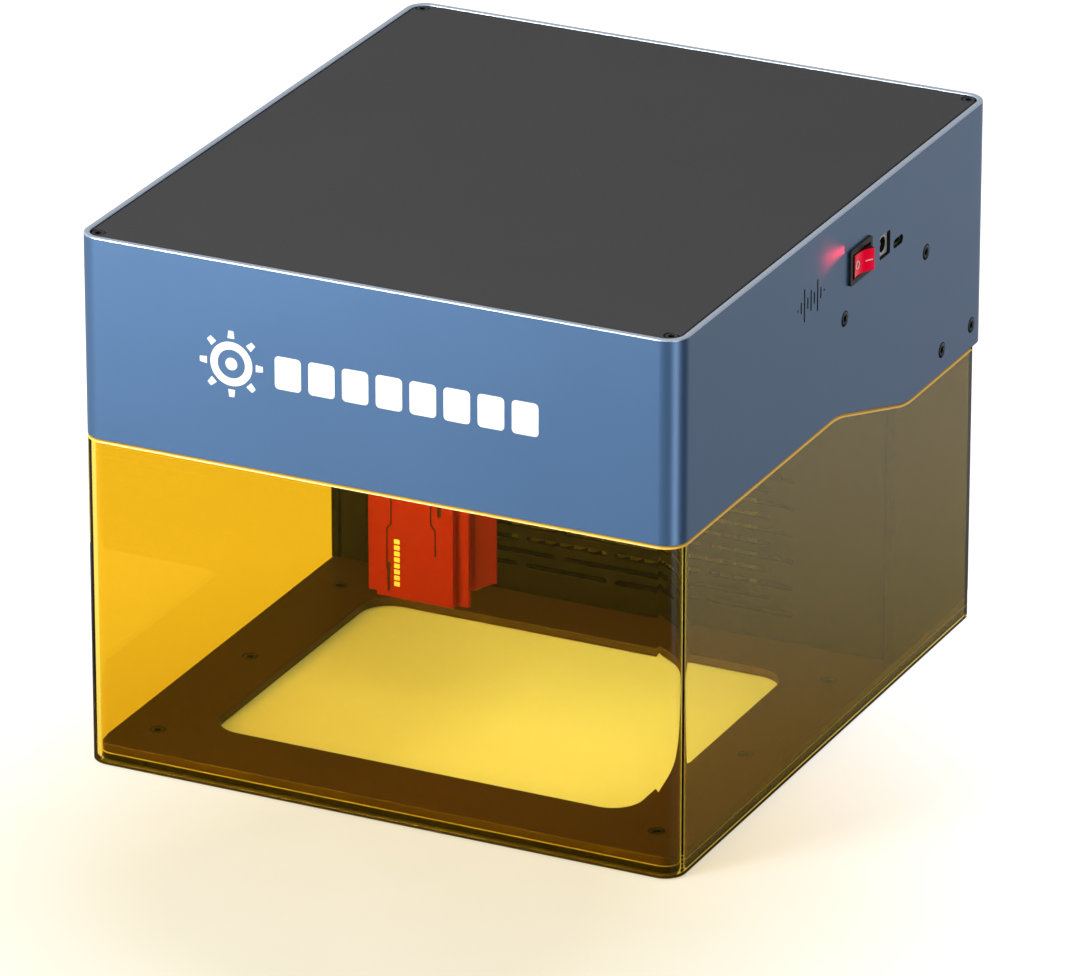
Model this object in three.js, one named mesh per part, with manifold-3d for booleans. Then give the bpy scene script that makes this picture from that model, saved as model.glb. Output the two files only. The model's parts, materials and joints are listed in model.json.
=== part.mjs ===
// Desktop laser engraver: an upper shell that carries the motion system, a
// slide-off amber shield around the work chamber, a base with a recessed bed,
// and a rear housing with the exhaust fan.
// Millimetres; +X to the operator's right, +Y to the rear, +Z up.
// The origin is on the surface that the machine stands on, under its centre.
import * as THREE from "three";
import { mergeVertices } from "three/addons/utils/BufferGeometryUtils.js";
import Module from "manifold-3d";

const wasm = await Module();
wasm.setup();

// ---------------------------------------------------------------- dimensions
const WIDTH = 260;
const DEPTH = 297;
const HEIGHT = 226;
const GAP = 0.3; // clearance between neighbouring pieces
const FAR = 400; // longer than the machine, for cutting tools

// Screws: every one is an M3 with a hexagon socket
const SHANK_RADIUS = 1.5;
const SHANK_HOLE = SHANK_RADIUS + GAP;
const SOCKET_RADIUS = 1.45;
const SEAT_GAP = 0.1; // between a head and the face under it

// Upper shell and the line where the shield meets it
const CORNER_RADIUS = 9;
const SHELL_WALL = 2.5;
const FRONT_EDGE_Z = 141;
const REAR_EDGE_Z = 121;
const RAMP_FRONT_Y = 0.5;
const RAMP_REAR_Y = 68;
const RAMP_SOFTENING = 7;
const BOSS_SIZE = 13;
const BOSS_FOOT_Z = 204;
const BOSS_CORNER = 5;

// Top cover
const COVER_THICKNESS = 3;
const COVER_GAP = 0.7;
const COVER_DROP = 0.3;
const COVER_SCREW = { x: 123.4, y: 141.8, headR: 2.6, headH: 1.7, length: 9, sunkR: 3.2 };

// Shield
const SHIELD_WALL = 3;
const SHIELD_REAR_Y = 135;
const SHIELD_TOP_GAP = 0.6;
const SHIELD_FOOT_Z = 0.5;

// Base
const BASE_HALF_WIDTH = 126.5;
const BASE_FRONT_Y = -145;
const BASE_REAR_Y = 147.6;
const BASE_CORNER = 5.5;
const FOOT = { height: 1.4, halfLength: 112, halfWidth: 7, corner: 6, inset: 16 };
const BED_BOTTOM_Z = 1.6;
const BED_TOP_Z = 4.5;
const FRAME_BOTTOM_Z = 4.7;
const FRAME_TOP_Z = 8.5;
const OPENING = { width: 186, depth: 148, y: -39, radius: 13 };
const BASE_SCREW = { headR: 3, headH: 1.6, length: 4.6 };
const BASE_SCREW_X = 110;
const BASE_SCREW_YS = { front: -124, middle: -44, rear: 36 };

// Side screws: two hold each rail bracket, two hold the rear housing
const SIDE_SCREW = { headR: 3.1, headH: 1.4, length: 5.8, sunk: 1.3 };
const RAIL_SCREWS = { front: [5.8, 180.2], rear: [85.7, 180.2] };
const HOUSING_SCREWS = { front: [103.5, 131.2], rear: [133.4, 131.3] };

// Switch, power and data sockets in the right side
const SWITCH = { y: 19.3, z: 200.1, bezelY: 21, bezelZ: 15, bodyY: 19, bodyZ: 13 };
const SWITCH_BEZEL = 1;
const SWITCH_DEPTH = 23;
const SWITCH_WELL = { depth: 7.6, halfY: 8.5, halfZ: 5.3 };
const SWITCH_TAB = { reach: 30, spacing: 5, half: 0.4, halfHeight: 2.4 };
const ROCKER_DEPTH = 3.1; // its pivot behind the shell's face
const ROCKER_HALF_WIDTH = 4.8;
const SOCKET_RECESS = 1.3; // the sockets' faces behind the shell's face
const ROCKER_TILT = THREE.MathUtils.degToRad(14);
const JACK = { y: 44.3, z: 197.8, sizeY: 9.7, sizeZ: 9.4, depth: 14, socketR: 3.2, pinR: 1.1 };
const USB = { y: 57.5, z: 194.8, sizeY: 9, sizeZ: 3.3, depth: 9, wall: 0.4, roundness: 0.95 };
const BOARD = { x0: 88, x1: 125.2, y0: 33, y1: 118, top: 193, thickness: 1.6 };
const CHIPS = [
  { x: 101, y: 67, width: 10, length: 10, height: 1.4 },
  { x: 98, y: 87, width: 8, length: 6, height: 4 },
  { x: 110, y: 87, width: 8, length: 6, height: 4 },
];
const CAPACITOR = { x: 112, y: 104, radius: 4, height: 11 };
const BOARD_LEDGE = { depth: 8, length: 8, height: 4 };
const VENT = { y: -39.4, z: 199.8, pitch: 3.1, width: 1.1 };
const VENT_HEIGHTS = [1.2, 5, 14, 5, 9, 5, 13.6, 5, 1.2];

// Motion system
const RAIL_Z = 172;
const RAIL_X = 112.5;
const ROD_RADIUS = 4;
const ROD_BORE = 4.3;
const LUG = { depth: 10, frontY: -128, rearY: 96, inner: 104, bottom: 163, top: 181 };
const GANTRY_Y = -18; // middle of the gantry at rest
const X_ROD_OFFSET = 9;
const X_ROD_DROP = 6; // cross rods below the guide rods
const X_BELT_RISE = 1; // belts above the guide rods
const Y_BELT_RISE = 8;
const Y_CARRIAGE = { inner: 104.5, outer: 120.5, halfLength: 26, bottom: 158, top: 184 };
const ROD_POCKET = 3; // how far the cross rods' holes run into a carriage
const AXLE_RADIUS = 2;
const SHAFT_RADIUS = 2.5;
const SHAFT_REACH = 24;
const MOTOR_PLATE = 2.6;
const MOTOR_PILOT = 8; // radius of the hole in a motor's face plate
const BEAM_X = -23.75; // laser beam at rest
const BEAM_Y = -50;
const X_CARRIAGE = { width: 30, halfDepth: 15, bottom: 158, top: 186 };
const BELT = { width: 6, thickness: 1.4, radius: 6.37 };
const PULLEY = { flange: 1.6, toothDepth: 0.35, side: 0.3, rimWall: 0.9, bore: 2.3 };
const X_PULLEY_X = 84;
const Y_BELT_X = -96;
const Y_IDLER_Y = -122;
const Y_DRIVE_Y = 112;
const MOTOR = { side: 28, length: 32, chamfer: 3 };

// Laser module: an extruded heat sink behind a front plate
const MODULE = { width: 33.9, frontY: -66, rearY: -35.3, bottom: 58, top: 150 };
const FRONT_PLATE_THICKNESS = 2.9;
const GROOVE_DEPTH = 0.5;
const NOZZLE_BORE = { radius: 8.3, height: 8 };
const BARREL_BORE = { radius: 6.8, height: 48 };
const WIRING_BORE = 3;
const LASER_FAN = { side: 30, depth: 10, bore: 14 };

// Rear housing and exhaust
const HOUSING_FRONT_Y = 61.5;
const HOUSING_WALL = 3;
const HOUSING_TOP_Z = 140;
const HOUSING_REAR_Y = 147.9;
const HOUSING_UPPER_REAR_Y = 145.7;
const PANEL_GROOVE = 1.3;
const SLOT = { height: 2.3, bridge: 3.9, firstRowZ: 21.2, rowPitch: 5.93, rows: 11 };
const LONG_ROW = { start: -78.4, lengths: [38, 36.5, 36.7, 37.7] };
const SHORT_ROW = { start: -61.3, lengths: [38, 49.3, 37.9] };
const EXHAUST = { z: 75, fan: 80, fanDepth: 25, bore: 38, grille: 86, fanFrontY: 120 };
const GRILLE_SLOT = { count: 9, pitch: 8, half: 2.4, chamfer: 1.4 };
const FILTER = { half: 55, depth: 24, pleats: 16, pleatDepth: 6, margin: 3, frontY: 86 };

// ---------------------------------------------------------------- materials
function material(color, roughness, metalness = 0, opacity = 1) {
  return new THREE.MeshStandardMaterial({
    color,
    roughness,
    metalness,
    opacity,
    transparent: opacity < 1,
  });
}

const BLUE_ALUMINIUM = material(0x56769b, 0.4, 0.7);
const DARK_COVER = material(0x3a3a3a, 0.75, 0.2);
const BLACK_METAL = material(0x1b1b1c, 0.55, 0.5);
const BLACK_PLASTIC = material(0x141414, 0.6);
const PALE_BED = material(0xd9d6cc, 0.5);
const AMBER_ACRYLIC = material(0xf0a81c, 0.08, 0, 0.45);
const RED_ALUMINIUM = material(0xb3201a, 0.35, 0.7);
const RED_ROCKER = material(0xd20f2c, 0.25);
const STEEL = material(0xb9bcc0, 0.3, 1);
const BRASS = material(0xb8923f, 0.35, 1);
const GLASS = material(0xbfd6e6, 0.05, 0, 0.5);
const GREEN_BOARD = material(0x1d5a3a, 0.5);
const DARK_RUBBER = material(0x202020, 0.9);
const FILTER_FELT = material(0xc9c6bd, 0.95);

// ------------------------------------------------------------ shape helpers
function box(x0, x1, y0, y1, z0, z1) {
  const geometry = new THREE.BoxGeometry(x1 - x0, y1 - y0, z1 - z0);
  return geometry.translate((x0 + x1) / 2, (y0 + y1) / 2, (z0 + z1) / 2);
}

function rectangle(x0, x1, y0, y1, radius, Kind = THREE.Shape) {
  const shape = new Kind();
  shape.moveTo(x0 + radius, y0);
  shape.lineTo(x1 - radius, y0);
  shape.absarc(x1 - radius, y0 + radius, radius, -Math.PI / 2, 0);
  shape.lineTo(x1, y1 - radius);
  shape.absarc(x1 - radius, y1 - radius, radius, 0, Math.PI / 2);
  shape.lineTo(x0 + radius, y1);
  shape.absarc(x0 + radius, y1 - radius, radius, Math.PI / 2, Math.PI);
  shape.lineTo(x0, y0 + radius);
  shape.absarc(x0 + radius, y0 + radius, radius, Math.PI, 1.5 * Math.PI);
  return shape;
}

// A slot from x0 to x1 and y0 to y1, its ends cut back by the chamfer.
function slotOutline(x0, x1, y0, y1, chamfer, Kind = THREE.Shape) {
  const c = chamfer;
  const corners = [
    [x0 + c, y0],
    [x1 - c, y0],
    [x1, y0 + c],
    [x1, y1 - c],
    [x1 - c, y1],
    [x0 + c, y1],
    [x0, y1 - c],
    [x0, y0 + c],
  ];
  return new Kind(corners.map(([x, y]) => new THREE.Vector2(x, y)));
}

function polygon(points) {
  return new THREE.Shape(points.map(([x, y]) => new THREE.Vector2(x, y)));
}

// A shape in X and Y, extruded from z0 up to z1.
function extrudeUp(shape, z0, z1, curveSegments = 8) {
  const options = { depth: z1 - z0, bevelEnabled: false, curveSegments };
  return new THREE.ExtrudeGeometry(shape, options).translate(0, 0, z0);
}

// A shape in Y and Z, extruded from x0 to x1.
function extrudeAcross(shape, x0, x1, curveSegments = 8) {
  const turn = new THREE.Matrix4().makeBasis(
    new THREE.Vector3(0, 1, 0),
    new THREE.Vector3(0, 0, 1),
    new THREE.Vector3(1, 0, 0),
  );
  return extrudeUp(shape, x0, x1, curveSegments).applyMatrix4(turn);
}

// A shape in X and Z, extruded from y0 back to y1.
function extrudeBack(shape, y0, y1, curveSegments = 8) {
  const turn = new THREE.Matrix4().makeRotationX(Math.PI / 2);
  return extrudeUp(shape, -y1, -y0, curveSegments).applyMatrix4(turn);
}

// A cylinder along an axis, from one place on it to another.
function cylinder(axis, radius, from, to, segments = 16) {
  const geometry = new THREE.CylinderGeometry(radius, radius, to - from, segments);
  geometry.translate(0, (from + to) / 2, 0);
  if (axis === "x") geometry.rotateZ(-Math.PI / 2);
  if (axis === "z") geometry.rotateX(Math.PI / 2);
  return geometry;
}

// A profile of [radius, height] points turned about Z.
function turned(profile, segments = 16) {
  const points = profile.map(([r, z]) => new THREE.Vector2(r, z));
  return new THREE.LatheGeometry(points, segments).rotateX(Math.PI / 2);
}

// ---------------------------------------------------------------- booleans
function toSolid(geometry) {
  const bare = geometry.clone();
  bare.deleteAttribute("normal");
  bare.deleteAttribute("uv");
  const merged = mergeVertices(bare, 1e-4);
  return new wasm.Manifold(
    new wasm.Mesh({
      numProp: 3,
      vertProperties: merged.attributes.position.array,
      triVerts: new Uint32Array(merged.index.array),
    }),
  );
}

function toGeometry(solid) {
  const mesh = solid.getMesh();
  const geometry = new THREE.BufferGeometry();
  geometry.setAttribute("position", new THREE.BufferAttribute(mesh.vertProperties, 3));
  geometry.setIndex(new THREE.BufferAttribute(mesh.triVerts, 1));
  geometry.computeVertexNormals();
  return geometry;
}

function join(...geometries) {
  return toGeometry(geometries.map(toSolid).reduce((a, b) => a.add(b)));
}

function cut(geometry, ...tools) {
  return toGeometry(tools.map(toSolid).reduce((a, b) => a.subtract(b), toSolid(geometry)));
}

function common(a, b) {
  return toGeometry(toSolid(a).intersect(toSolid(b)));
}

function moved(geometry, x, y, z) {
  return geometry.clone().translate(x, y, z);
}

function mirrored(geometry) {
  const solid = toSolid(geometry);
  return toGeometry(solid.mirror([1, 0, 0]));
}

// ------------------------------------------------------------ scene helpers
const machine = new THREE.Group();

function place(parent, name, geometry, look, x = 0, y = 0, z = 0) {
  const mesh = new THREE.Mesh(geometry, look);
  mesh.name = name;
  mesh.position.set(x, y, z);
  parent.add(mesh);
  return mesh;
}

function groupAt(parent, x, y, z) {
  const group = new THREE.Group();
  group.position.set(x, y, z);
  parent.add(group);
  return group;
}

// ---------------------------------------------------------------- fasteners
// A socket-head screw standing on its shank, the head's seat at z = 0.
function screw({ headR, headH, length }) {
  const edge = 0.4;
  const body = turned(
    [
      [0, -length],
      [SHANK_RADIUS, -length],
      [SHANK_RADIUS, 0],
      [headR, 0],
      [headR, headH - edge],
      [headR - edge, headH],
      [0, headH],
    ],
    9,
  );
  const socket = cylinder("z", SOCKET_RADIUS, headH * 0.35, headH + 1, 6);
  return cut(body, socket);
}

// ---------------------------------------------------------------- the shell
// The outline, in Y and Z, of everything below the shell's lower edge.
function belowEdge(drop) {
  const front = FRONT_EDGE_Z - drop;
  const rear = REAR_EDGE_Z - drop;
  const slope = (rear - front) / (RAMP_REAR_Y - RAMP_FRONT_Y);
  const s = RAMP_SOFTENING;
  const shape = new THREE.Shape();
  shape.moveTo(-FAR, -FAR);
  shape.lineTo(FAR, -FAR);
  shape.lineTo(FAR, rear);
  shape.lineTo(RAMP_REAR_Y + s, rear);
  shape.quadraticCurveTo(RAMP_REAR_Y, rear, RAMP_REAR_Y - s, rear - slope * s);
  shape.lineTo(RAMP_FRONT_Y + s, front + slope * s);
  shape.quadraticCurveTo(RAMP_FRONT_Y, front, RAMP_FRONT_Y - s, front);
  shape.lineTo(-FAR, front);
  return shape;
}

function wallRing(wall, z0, z1) {
  const w = WIDTH / 2;
  const d = DEPTH / 2;
  const r = CORNER_RADIUS;
  const shape = rectangle(-w, w, -d, d, r);
  shape.holes.push(rectangle(wall - w, w - wall, wall - d, d - wall, r - wall, THREE.Path));
  return extrudeUp(shape, z0, z1, 8);
}

function stadiumSlots() {
  return VENT_HEIGHTS.map((height, i) => {
    const y = VENT.y + i * VENT.pitch;
    const half = VENT.width / 2;
    const top = VENT.z + height / 2;
    const bottom = VENT.z - height / 2;
    const slot = slotOutline(y - half, y + half, bottom, top, half * 0.6);
    return extrudeAcross(slot, WIDTH / 2 - 6, WIDTH / 2 + 1);
  });
}

function sideHole([y, z], radius, x0, x1) {
  return moved(cylinder("x", radius, x0, x1, 8), 0, y, z);
}

function upperShell() {
  const w = WIDTH / 2;
  const d = DEPTH / 2;
  const wallHalf = SHELL_WALL / 2;
  const h = BOSS_SIZE / 2;
  const bossTop = HEIGHT - COVER_DROP - COVER_THICKNESS - GAP;
  const within = extrudeUp(rectangle(-w, w, -d, d, CORNER_RADIUS), 0, HEIGHT, 8);
  const bosses = [];
  for (const sx of [-1, 1]) {
    for (const sy of [-1, 1]) {
      const bx = sx * (w - wallHalf - h);
      const by = sy * (d - wallHalf - h);
      const post = rectangle(bx - h, bx + h, by - h, by + h, BOSS_CORNER);
      bosses.push(common(extrudeUp(post, BOSS_FOOT_Z, bossTop, 3), within));
    }
  }
  const ledgeTop = BOARD.top - BOARD.thickness - GAP;
  const { depth, length, height } = BOARD_LEDGE;
  const ledges = [BOARD.y0 + 3, BOARD.y1 - 11].map((y) =>
    box(w - depth, w - wallHalf, y, y + length, ledgeTop - height, ledgeTop),
  );
  const body = join(wallRing(SHELL_WALL, REAR_EDGE_Z, HEIGHT), ...bosses, ...ledges);

  const tools = [extrudeAcross(belowEdge(0), -FAR, FAR, 6)];
  for (const sx of [-1, 1]) {
    for (const sy of [-1, 1]) {
      const hole = cylinder("z", SHANK_HOLE, BOSS_FOOT_Z - 1, HEIGHT, 8);
      tools.push(moved(hole, sx * COVER_SCREW.x, sy * COVER_SCREW.y, 0));
    }
  }
  const holes = [...Object.values(RAIL_SCREWS), ...Object.values(HOUSING_SCREWS)];
  for (const spot of holes) {
    tools.push(sideHole(spot, SHANK_HOLE, w - 5, w + 1));
    tools.push(sideHole(spot, SHANK_HOLE, -w - 1, 5 - w));
    const [holeY, holeZ] = spot;
    const sunk = SIDE_SCREW.headR + GAP;
    tools.push(moved(cylinder("x", sunk, w - SIDE_SCREW.sunk, w + 1, 12), 0, holeY, holeZ));
    tools.push(moved(cylinder("x", sunk, -w - 1, SIDE_SCREW.sunk - w, 12), 0, holeY, holeZ));
  }
  const { y, z, bodyY, bodyZ } = SWITCH;
  const hy = bodyY / 2 + GAP;
  const hz = bodyZ / 2 + GAP;
  tools.push(box(w - 5, w + 1, y - hy, y + hy, z - hz, z + hz));
  for (const socket of [JACK, USB]) {
    const sy = socket.sizeY / 2 + GAP;
    const sz = socket.sizeZ / 2 + GAP;
    const radius = socket === USB ? sz * USB.roundness : 0.8;
    const hole = rectangle(socket.y - sy, socket.y + sy, socket.z - sz, socket.z + sz, radius);
    tools.push(extrudeAcross(hole, w - 5, w + 1, 4));
  }
  return cut(body, ...tools, ...stadiumSlots());
}

function topCover() {
  const inset = SHELL_WALL + COVER_GAP;
  const w = WIDTH / 2 - inset;
  const d = DEPTH / 2 - inset;
  const top = HEIGHT - COVER_DROP;
  const outline = rectangle(-w, w, -d, d, CORNER_RADIUS - inset);
  const plate = extrudeUp(outline, top - COVER_THICKNESS, top, 6);
  const tools = [];
  const seat = top - COVER_SCREW.headH - GAP;
  for (const sx of [-1, 1]) {
    for (const sy of [-1, 1]) {
      const x = sx * COVER_SCREW.x;
      const y = sy * COVER_SCREW.y;
      tools.push(moved(cylinder("z", COVER_SCREW.sunkR, seat, HEIGHT + 1, 16), x, y, 0));
      tools.push(moved(cylinder("z", SHANK_HOLE, HEIGHT - 9, HEIGHT + 1, 8), x, y, 0));
    }
  }
  return cut(plate, ...tools);
}

function addShell() {
  place(machine, "upper_shell", upperShell(), BLUE_ALUMINIUM);
  place(machine, "top_cover", topCover(), DARK_COVER);
  const coverScrew = screw(COVER_SCREW);
  const seat = HEIGHT - COVER_DROP - COVER_SCREW.headH - SEAT_GAP;
  for (const [side, sx] of [["left", -1], ["right", 1]]) {
    for (const [end, sy] of [["front", -1], ["rear", 1]]) {
      const name = `cover_screw_${end}_${side}`;
      place(machine, name, coverScrew, BLACK_METAL, sx * COVER_SCREW.x, sy * COVER_SCREW.y, seat);
    }
  }
  const sideScrew = screw(SIDE_SCREW);
  const families = [["rail_screw", RAIL_SCREWS], ["housing_screw", HOUSING_SCREWS]];
  for (const [family, places] of families) {
    for (const [end, [y, z]] of Object.entries(places)) {
      for (const [side, sx] of [["left", -1], ["right", 1]]) {
        const x = sx * (WIDTH / 2 - SIDE_SCREW.sunk + SEAT_GAP);
        const mesh = place(machine, `${family}_${end}_${side}`, sideScrew, BLACK_METAL, x, y, z);
        mesh.rotation.y = (sx * Math.PI) / 2;
      }
    }
  }
}

// --------------------------------------------------------------- the shield
function amberShield() {
  const ring = wallRing(SHIELD_WALL, SHIELD_FOOT_Z, FRONT_EDGE_Z);
  const open = box(-FAR, FAR, SHIELD_REAR_Y, FAR, -FAR, FAR);
  const below = extrudeAcross(belowEdge(SHIELD_TOP_GAP), -FAR, FAR, 6);
  return common(cut(ring, open), below);
}

// ----------------------------------------------------------------- the base
function basePlate(z0, z1) {
  const w = BASE_HALF_WIDTH;
  return extrudeUp(rectangle(-w, w, BASE_FRONT_Y, BASE_REAR_Y, BASE_CORNER), z0, z1, 6);
}

function baseScrewTools(radius, z0, z1) {
  const tools = [];
  for (const x of [-BASE_SCREW_X, BASE_SCREW_X]) {
    for (const y of Object.values(BASE_SCREW_YS)) {
      tools.push(moved(cylinder("z", radius, z0, z1, 10), x, y, 0));
    }
  }
  return tools;
}

function addBase() {
  const top = FRAME_TOP_Z + 0.5;
  const { headR, headH } = BASE_SCREW;
  const plate = cut(basePlate(BED_BOTTOM_Z, BED_TOP_Z), ...baseScrewTools(SHANK_HOLE, 0, top));
  place(machine, "bed_plate", plate, PALE_BED);

  const { width, depth, y, radius } = OPENING;
  const window = rectangle(-width / 2, width / 2, y - depth / 2, y + depth / 2, radius);
  const frame = cut(
    basePlate(FRAME_BOTTOM_Z, FRAME_TOP_Z),
    extrudeUp(window, 0, FAR, 6),
    ...baseScrewTools(SHANK_HOLE, 0, top),
    ...baseScrewTools(headR + GAP, FRAME_TOP_Z - headH - GAP, top),
  );
  place(machine, "base_frame", frame, BLACK_METAL);

  const seat = FRAME_TOP_Z - headH - SEAT_GAP;
  const baseScrew = screw(BASE_SCREW);
  for (const [side, sx] of [["left", -1], ["right", 1]]) {
    for (const [end, screwY] of Object.entries(BASE_SCREW_YS)) {
      const name = `base_screw_${end}_${side}`;
      place(machine, name, baseScrew, BLACK_METAL, sx * BASE_SCREW_X, screwY, seat);
    }
  }

  const { halfLength, halfWidth, corner, height, inset } = FOOT;
  const footprint = rectangle(-halfLength, halfLength, -halfWidth, halfWidth, corner);
  const strip = extrudeUp(footprint, 0, height, 4);
  place(machine, "foot_strip_front", strip, DARK_RUBBER, 0, BASE_FRONT_Y + inset, 0);
  place(machine, "foot_strip_rear", strip, DARK_RUBBER, 0, BASE_REAR_Y - inset, 0);
}

// --------------------------------------------------- switch, sockets, board
function switchBody() {
  const { y, z, bezelY, bezelZ, bodyY, bodyZ } = SWITCH;
  const face = WIDTH / 2 + 0.05;
  const back = face - SWITCH_DEPTH;
  const bezelShape = rectangle(y - bezelY / 2, y + bezelY / 2, z - bezelZ / 2, z + bezelZ / 2, 1.2);
  const bezel = extrudeAcross(bezelShape, face, face + SWITCH_BEZEL, 3);
  const body = box(back, face + 1, y - bodyY / 2, y + bodyY / 2, z - bodyZ / 2, z + bodyZ / 2);
  const { depth, halfY, halfZ } = SWITCH_WELL;
  const well = box(face - depth, FAR, y - halfY, y + halfY, z - halfZ, z + halfZ);
  const { reach, spacing, half, halfHeight } = SWITCH_TAB;
  const tabs = [y - spacing, y + spacing].map((middle) =>
    box(face - reach, back + 0.5, middle - half, middle + half, z - halfHeight, z + halfHeight),
  );
  return cut(join(bezel, body, ...tabs), well);
}

// The rocker's outline about its pivot: local X runs along the switch, local Y outwards.
function rocker() {
  const outline = polygon([
    [-8.2, -1.5],
    [8.2, -1.5],
    [8.2, 0.5],
    [6.4, 6.4],
    [3.2, 5.3],
    [0, 4.9],
    [-3.2, 5.3],
    [-6.4, 6.4],
    [-8.2, 0.5],
  ]);
  const turn = new THREE.Matrix4().makeBasis(
    new THREE.Vector3(0, 1, 0),
    new THREE.Vector3(1, 0, 0),
    new THREE.Vector3(0, 0, -1),
  );
  return extrudeUp(outline, -ROCKER_HALF_WIDTH, ROCKER_HALF_WIDTH).applyMatrix4(turn);
}

function dcJack() {
  const { y, z, sizeY, sizeZ, depth, socketR, pinR } = JACK;
  const front = WIDTH / 2 - SOCKET_RECESS;
  const shape = rectangle(y - sizeY / 2, y + sizeY / 2, z - sizeZ / 2, z + sizeZ / 2, 0.6);
  const body = extrudeAcross(shape, front - depth, front, 2);
  const socket = moved(cylinder("x", socketR, front - 9, front + 1, 16), 0, y, z);
  const pin = moved(cylinder("x", pinR, front - 10, front - 1, 10), 0, y, z);
  return join(cut(body, socket), pin);
}

function usbPort() {
  const { y, z, sizeY, sizeZ, depth, wall, roundness } = USB;
  const front = WIDTH / 2 - SOCKET_RECESS;
  const outline = (inset) => {
    const reach = sizeY / 2 - inset;
    const half = sizeZ / 2 - inset;
    return rectangle(y - reach, y + reach, z - half, z + half, half * roundness);
  };
  const can = cut(
    extrudeAcross(outline(0), front - depth, front, 4),
    extrudeAcross(outline(wall), front - 7, FAR, 4),
  );
  const tongue = box(front - 7.5, front - 0.8, y - 3.2, y + 3.2, z - 0.35, z + 0.35);
  return join(can, tongue);
}

function controlBoard() {
  const { x0, x1, y0, y1, top, thickness } = BOARD;
  const board = box(x0, x1, y0, y1, top - thickness, top);
  const sunk = top - 0.2;
  const chips = CHIPS.map(({ x, y, width, length, height }) =>
    box(x - width / 2, x + width / 2, y - length / 2, y + length / 2, sunk, top + height),
  );
  const can = cylinder("z", CAPACITOR.radius, sunk, top + CAPACITOR.height, 12);
  const hole = cylinder("z", 1.6, top - 9, top + 9, 10);
  const holes = [y0 + 4, y1 - 4].map((y) => moved(hole, x0 + 4, y, 0));
  return cut(join(board, ...chips, moved(can, CAPACITOR.x, CAPACITOR.y, 0)), ...holes);
}

function addControls() {
  place(machine, "switch_body", switchBody(), BLACK_PLASTIC);
  const pivotX = WIDTH / 2 - ROCKER_DEPTH;
  const mesh = place(machine, "switch_rocker", rocker(), RED_ROCKER, pivotX, SWITCH.y, SWITCH.z);
  mesh.rotation.z = -ROCKER_TILT; // the rear end stands out
  place(machine, "dc_jack", dcJack(), STEEL);
  place(machine, "usb_port", usbPort(), STEEL);
  place(machine, "control_board", controlBoard(), GREEN_BOARD);
}

// ----------------------------------------------------------- motion: chassis
// A wall plate with a lug at each end for the guide rod, on the left side.
function railBracket() {
  const inner = -LUG.inner;
  const wall = -WIDTH / 2 + SHELL_WALL + GAP;
  const { depth, frontY, rearY, bottom, top } = LUG;
  const parts = [
    box(wall, wall + 4, frontY, rearY + depth, bottom, top + 5),
    box(wall, inner, frontY, frontY + depth, bottom, top),
    box(wall, inner, rearY, rearY + depth, bottom, top),
  ];
  const tools = [moved(cylinder("y", ROD_BORE, -FAR, FAR, 16), -RAIL_X, 0, RAIL_Z)];
  for (const spot of Object.values(RAIL_SCREWS)) {
    tools.push(sideHole(spot, SHANK_HOLE, -WIDTH / 2, 0));
  }
  return cut(join(...parts), ...tools);
}

// The left bracket also carries the idler's axle and the Y motor's face plate.
function leftRailBracket() {
  const side = MOTOR.side / 2;
  const outer = -LUG.inner - 12;
  const { frontY, rearY, depth, top } = LUG;
  const beltZ = RAIL_Z + Y_BELT_RISE;
  const horn = box(outer, -LUG.inner, frontY, frontY + depth, top - 1, beltZ + 4);
  const pin = cylinder("x", AXLE_RADIUS, -LUG.inner - 1, Y_BELT_X + 4.5, 12);
  const axle = moved(pin, 0, Y_IDLER_Y, beltZ);
  const faceX = Y_BELT_X + BELT.width / 2 + 1;
  const facePlate = cut(
    box(faceX, faceX + MOTOR_PLATE, Y_DRIVE_Y - side, Y_DRIVE_Y + side, beltZ - side, beltZ + side),
    moved(cylinder("x", MOTOR_PILOT, -FAR, FAR, 16), 0, Y_DRIVE_Y, beltZ),
  );
  const bridgeTop = beltZ + side - 0.5;
  const post = box(outer, -LUG.inner, rearY, rearY + depth, top - 1, bridgeTop);
  const bridge = box(outer, faceX + 1, rearY + 3, rearY + depth, bridgeTop - 4, bridgeTop);
  return join(railBracket(), horn, axle, facePlate, post, bridge);
}

function motorBody() {
  const h = MOTOR.side / 2;
  const c = MOTOR.chamfer;
  const shaftHole = cylinder("z", SHAFT_RADIUS + 0.4, -1, 18, 12);
  return cut(extrudeUp(slotOutline(-h, h, -h, h, c), 0, MOTOR.length), shaftHole);
}

// A toothed-belt pulley about Z, its belt centred on z = 0.
function pulleyBody(boreRadius) {
  const { rimWall } = PULLEY;
  const rim = BELT.radius - PULLEY.toothDepth;
  const flange = BELT.radius + PULLEY.flange;
  const half = BELT.width / 2 + PULLEY.side;
  const profile = [
    [boreRadius, -half - rimWall],
    [flange, -half - rimWall],
    [flange, -half],
    [rim, -half],
    [rim, half],
    [flange, half],
    [flange, half + rimWall],
    [boreRadius, half + rimWall],
    [boreRadius, -half - rimWall],
  ];
  return turned(profile, 14);
}

// A pulley fixed on a motor shaft that runs up into the motor.
function drivePulley() {
  const rim = BELT.radius - PULLEY.toothDepth;
  const flange = BELT.radius + PULLEY.flange;
  const half = BELT.width / 2 + PULLEY.side;
  const profile = [
    [0, -half - PULLEY.rimWall],
    [flange, -half - PULLEY.rimWall],
    [flange, -half],
    [rim, -half],
    [rim, half],
    [flange, half],
    [flange, half + 0.5],
    [SHAFT_RADIUS, half + 0.5],
    [SHAFT_RADIUS, SHAFT_REACH],
    [0, SHAFT_REACH],
  ];
  return turned(profile, 14);
}

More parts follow.
